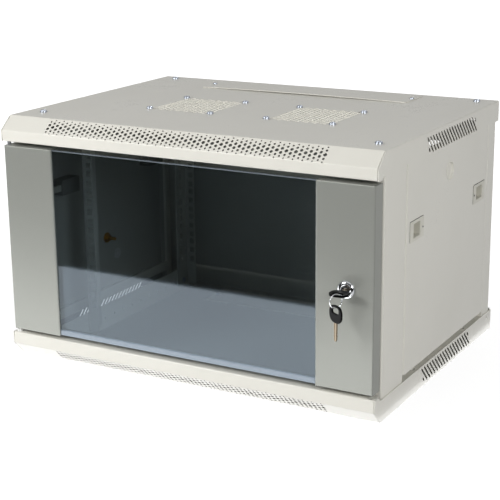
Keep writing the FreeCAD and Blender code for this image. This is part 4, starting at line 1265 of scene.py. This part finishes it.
def bladeShape():
    # a section with a groove milled in each face, carried along the key; the width follows the
    # cuts along both edges and the pointed tip
    along = np.linspace(0, 1, 97)
    y = key["near"] - 3.0 + along * (front - 7.5 + key["long"] - key["near"] + 3.0)
    tip = y.max()
    w, t = key["wide"] / 2, key["thick"] / 2
    section = np.array([(-1, -0.7), (-0.94, -1), (-0.5, -1), (-0.42, -0.45), (-0.12, -0.45),
                        (-0.04, -1), (0.94, -1), (1, -0.7), (1, 0.7), (0.94, 1), (0.5, 1),
                        (0.42, 0.45), (0.12, 0.45), (0.04, 1), (-0.94, 1), (-1, 0.7), (-1, -0.7)])
    cuts = np.interp(tip - y, key["cutsAt"], key["cuts"])
    points = np.stack([lock["x"] + section[None, :, 0] * w * cuts[:, None],
                       y[:, None] + 0 * section[None, :, 0],
                       lock["z"] + section[None, :, 1] * t + 0 * y[:, None]], -1)
    ends = [np.repeat(points[k:k + 1, :].mean(1, keepdims=True), len(section), 1) for k in (0, -1)]
    return gridShape(np.concatenate([ends[0], points, ends[1]]))


def bowShape():
    # between the slot's rim and the grip's outline runs a pillow with rounded edges
    turn = np.linspace(0, 2 * math.pi, 97)
    c, s = np.cos(turn), np.sin(turn)
    a, b = key["bowWide"] / 2, key["bowLong"] / 2
    shrink = (abs(c) ** 2.6 + abs(s) ** 2.6) ** (-1 / 2.6)
    taper = 1 - 0.10 * np.clip(s, 0, 1) ** 2
    outer = np.stack([a * c * shrink * taper, key["near"] - b + b * s * shrink], 1)
    middle = key["near"] - key["bowLong"] + key["bar"] + key["slot"] / 2
    inner = np.stack([key["slotWide"] / 2 * np.sign(c) * abs(c) ** 0.45,
                      middle + key["slot"] / 2 * np.sign(s) * abs(s) ** 0.45], 1)
    ring = np.array([(0.0, -0.45), (0.02, -0.8), (0.1, -1), (0.3, -0.93), (0.7, -0.93), (0.9, -1),
                     (0.975, -0.8), (1, -0.35), (1, 0.35), (0.975, 0.8), (0.9, 1), (0.7, 0.93),
                     (0.3, 0.93), (0.1, 1), (0.02, 0.8), (0.0, 0.45), (0.0, -0.45)])
    flat = inner[None] + ring[:, 0, None, None] * (outer - inner)[None]
    z = lock["z"] + ring[:, 1, None] * key["bowThick"] / 2 + 0 * turn[None]
    return gridShape(np.concatenate([flat + [lock["x"], 0], z[..., None]], -1))


def spareKey(shape):
    # the same key hung blade down from the bottom of the ring
    lean = math.radians(ring["turn"])
    barInner = key["near"] - key["bowLong"] + key["bar"]
    centre = ringCentre()

    def hang(p):
        x, y, z = p[:, 0] - lock["x"], p[:, 1] - barInner, p[:, 2] - lock["z"]
        y, z = z, -y
        turn = lean - math.pi / 2
        flat = np.stack([x * math.cos(turn) - y * math.sin(turn),
                         x * math.sin(turn) + y * math.cos(turn), z], 1)
        return flat + centre + [0, 0, -ring["r"] + ring["wire"] + ring["play"]]

    return shape.moved(hang)


def ringCentre():
    top = lock["z"] + key["bowThick"] / 2 + ring["wire"] + ring["play"]
    return np.array([lock["x"], key["near"] - key["bowLong"] + key["bar"] / 2, top - ring["r"]])


def splitRing():
    # two turns of wire side by side, stepping over once
    lean = math.radians(ring["turn"])
    along = np.array([math.cos(lean), math.sin(lean), 0])
    normal = np.cross(along, [0, 0, 1])
    t = np.linspace(0.01, 1.99, 150)
    turn = t * 2 * math.pi + 0.9
    offset = (smoothStep(t, 0.85, 1.15) * 2 - 1) * 0.37
    path = ringCentre() + ring["r"] * (np.cos(turn)[:, None] * along
                                       + np.sin(turn)[:, None] * np.array([0, 0, 1])) \
        + offset[:, None] * normal
    return wire(path, 0.37, 10)


makePiece("keyBlade", bladeShape(), "key", keySteel, ["key_blade"], "key_steel")
makePiece("keyBow", bowShape(), "key", keyPlastic, ["key_bow"], "key_plastic")
makePiece("keyRing", splitRing(), "ring", lockChrome, ["key_ring"], "key_steel")
makePiece("spareKeyBlade", spareKey(bladeShape()), "spare_key", keySteel, ["spare_key_blade"],
          "key_steel")
makePiece("spareKeyBow", spareKey(bowShape()), "spare_key", keyPlastic, ["spare_key_bow"],
          "key_plastic")
print("lock and keys made")

# finishes of the pieces that stay as they were made
finishes = {
    "cabinet_paint": (cabinetPaint, ["floor_cable_cover"]),
    "fan_paint": (blankPaint, ["fan_blanks"]),
    "zinc_steel": (zincSteel, ["upper_hinge_pin", "lower_hinge_pin", "glass_retainers", "lock_nut",
                               "lock_cam"]),
    "zinc_screws": (screwZinc, ["cam_screw"]),
    "brass": (brass, ["earth_stud", "earth_nut"]),
    "white_nylon": (whiteNylon, ["lower_hinge_bush"]),
    "seal_foam": (sealFoamAndShade, ["glass_seals"]),
    "lock_chrome": (lockChrome, ["lock_plug"]),
}
for slot, (material, nodes) in finishes.items():
    for node in nodes:
        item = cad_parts[node]
        item.data.materials.clear()
        item.data.materials.append(material)
print("finishes set")

# floor, light and camera
studio = {"floorEdge": -0.635, "floorSide": 0.31, "floorFar": 12.0, "fill": 0.17,
          "floorGlow": 3.25, "sideGlow": 0.75, "dark": 0.03, "backGlow": 0.5, "skyGlow": 0.5,
          "paper": 0.62, "white": 1.22, "shadowShare": 0.26, "shadowReach": (0.3, 1.3)}


def rayKinds(g):
    # 1 where light is traced for the eye, for a mirror or through a pane
    path = g.tree.nodes.new("ShaderNodeLightPath")
    kinds = ("Camera", "Glossy", "Transmission")
    return [Value(g, path.outputs[f"Is {kind} Ray"]) for kind in kinds]


def glow(g, strength, kind="ShaderNodeEmission"):
    return g.node(kind, {}, {"Color": (1, 1, 1, 1), "Strength": strength})


def floorMaterial():
    # white to the eye, with a shadow near the object; mirrors see it pale as far as its front edge
    g = Graph("studioFloor")
    camera, glossy, through = rayKinds(g)
    where = g.coordinates()
    forward = g.node("ShaderNodeSeparateXYZ", {}, {0: where}, output="Y")
    sideways = g.node("ShaderNodeSeparateXYZ", {}, {0: where}, output="X")
    pale = (forward > studio["floorEdge"]) * (1 - (sideways > studio["floorSide"]))
    dim = (forward > studio["floorEdge"]) * studio["sideGlow"] + studio["dark"]
    away = g.node("ShaderNodeVectorMath", {"operation": "LENGTH"}, {0: where}, output="Value")
    paper = g.node("ShaderNodeBsdfDiffuse", {}, {"Color": (*[studio["paper"]] * 3, 1)})
    share = studio["shadowShare"]
    washed = away.between(*studio["shadowReach"]) * share + (1 - share)
    seen = g.node("ShaderNodeMixShader", {}, {0: washed, 1: paper, 2: glow(g, studio["white"])})
    shine = g.node("ShaderNodeMixShader", {}, {0: pale, 1: glow(g, dim),
                                               2: glow(g, studio["floorGlow"])})
    lit = g.node("ShaderNodeMixShader", {}, {0: camera, 1: paper, 2: seen})
    return g.finish(g.node("ShaderNodeMixShader", {}, {0: glossy + through, 1: lit, 2: shine}))


reach = studio["floorFar"]
floorMesh = bpy.data.meshes.new("studioFloor")
floorMesh.from_pydata([(-reach, -reach, 0), (reach, -reach, 0), (reach, reach, 0),
                       (-reach, reach, 0)], [], [(0, 1, 2, 3)])
floorMesh.materials.append(floorMaterial())
floor = bpy.data.objects.new("studioFloor", floorMesh)
bpy.context.scene.collection.objects.link(floor)
floor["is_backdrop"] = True


def worldLight():
    # even fill; what shines sees a white backdrop behind the object and a dark room in front of it
    g = Graph("studioWorld", world=True)
    camera, glossy, through = rayKinds(g)
    toward = g.node("ShaderNodeTexCoord", output="Generated")
    ahead = g.node("ShaderNodeSeparateXYZ", {}, {0: toward}, output="Y")
    above = g.node("ShaderNodeSeparateXYZ", {}, {0: toward}, output="Z")
    shine = ahead.between(-0.35, 0.1) * (studio["backGlow"] - studio["dark"]) \
        + above.between(0.55, 0.9) * studio["skyGlow"] + studio["dark"]
    flat = "ShaderNodeBackground"
    lit = g.node("ShaderNodeMixShader", {}, {0: glossy + through, 1: glow(g, studio["fill"], flat),
                                             2: glow(g, shine, flat)})
    return g.finish(g.node("ShaderNodeMixShader", {}, {0: camera, 1: lit, 2: glow(g, 1.0, flat)}))


bpy.context.scene.world = worldLight()

lamps = {
    "keyRight": {"place": (2.4, -1.6, 1.35), "size": (0.9, 0.9), "power": 35.0},
    "keyLeft": {"place": (-1.2, -1.9, 1.4), "size": (0.8, 0.8), "power": 32.0},
    "frontFill": {"place": (-0.6, -3.0, 0.32), "size": (2.4, 0.5), "power": 4.0},
    "lowFront": {"place": (-0.35, -0.75, 0.22), "size": (0.9, 0.12), "power": 0.62, "seen": False},
    "rear": {"place": (0.3, 2.4, 2.8), "size": (1.6, 1.6), "power": 12.0},
    "backFill": {"place": (-1.3, 2.3, 0.45), "size": (1.4, 0.7), "power": 16.0, "seen": False},
}
for name, values in lamps.items():
    light = bpy.data.lights.new(name, "AREA")
    light.shape = "RECTANGLE"
    light.size, light.size_y = values["size"]
    light.energy = values["power"]
    lamp = bpy.data.objects.new(name, light)
    lamp.location = values["place"]
    lamp.visible_camera = lamp.visible_glossy = values.get("seen", True)
    toward = Vector((0, 0, 0.18)) - lamp.location
    lamp.rotation_euler = toward.to_track_quat("-Z", "Y").to_euler()
    bpy.context.scene.collection.objects.link(lamp)

cameraAt = {"place": (0.9507, -1.7069, 0.7030), "aim": (0.0526, -0.1148, 0.1846), "roll": -0.626,
            "lens": 95.3}
cameraData = bpy.data.cameras.new("camera")
cameraData.lens, cameraData.sensor_width = cameraAt["lens"], 36.0
camera = bpy.data.objects.new("camera", cameraData)
camera.location = cameraAt["place"]
look = (Vector(cameraAt["aim"]) - camera.location).to_track_quat("-Z", "Y").to_matrix()
camera.rotation_euler = (look @ Matrix.Rotation(math.radians(cameraAt["roll"]), 3, "Z")).to_euler()
bpy.context.scene.collection.objects.link(camera)
bpy.context.scene.camera = camera
bpy.context.scene.view_settings.view_transform = "Standard"
print("studio ready")

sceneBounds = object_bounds()
print("sizes", [[round(v, 4) for v in corner] for corner in (*cadBounds, *sceneBounds)])
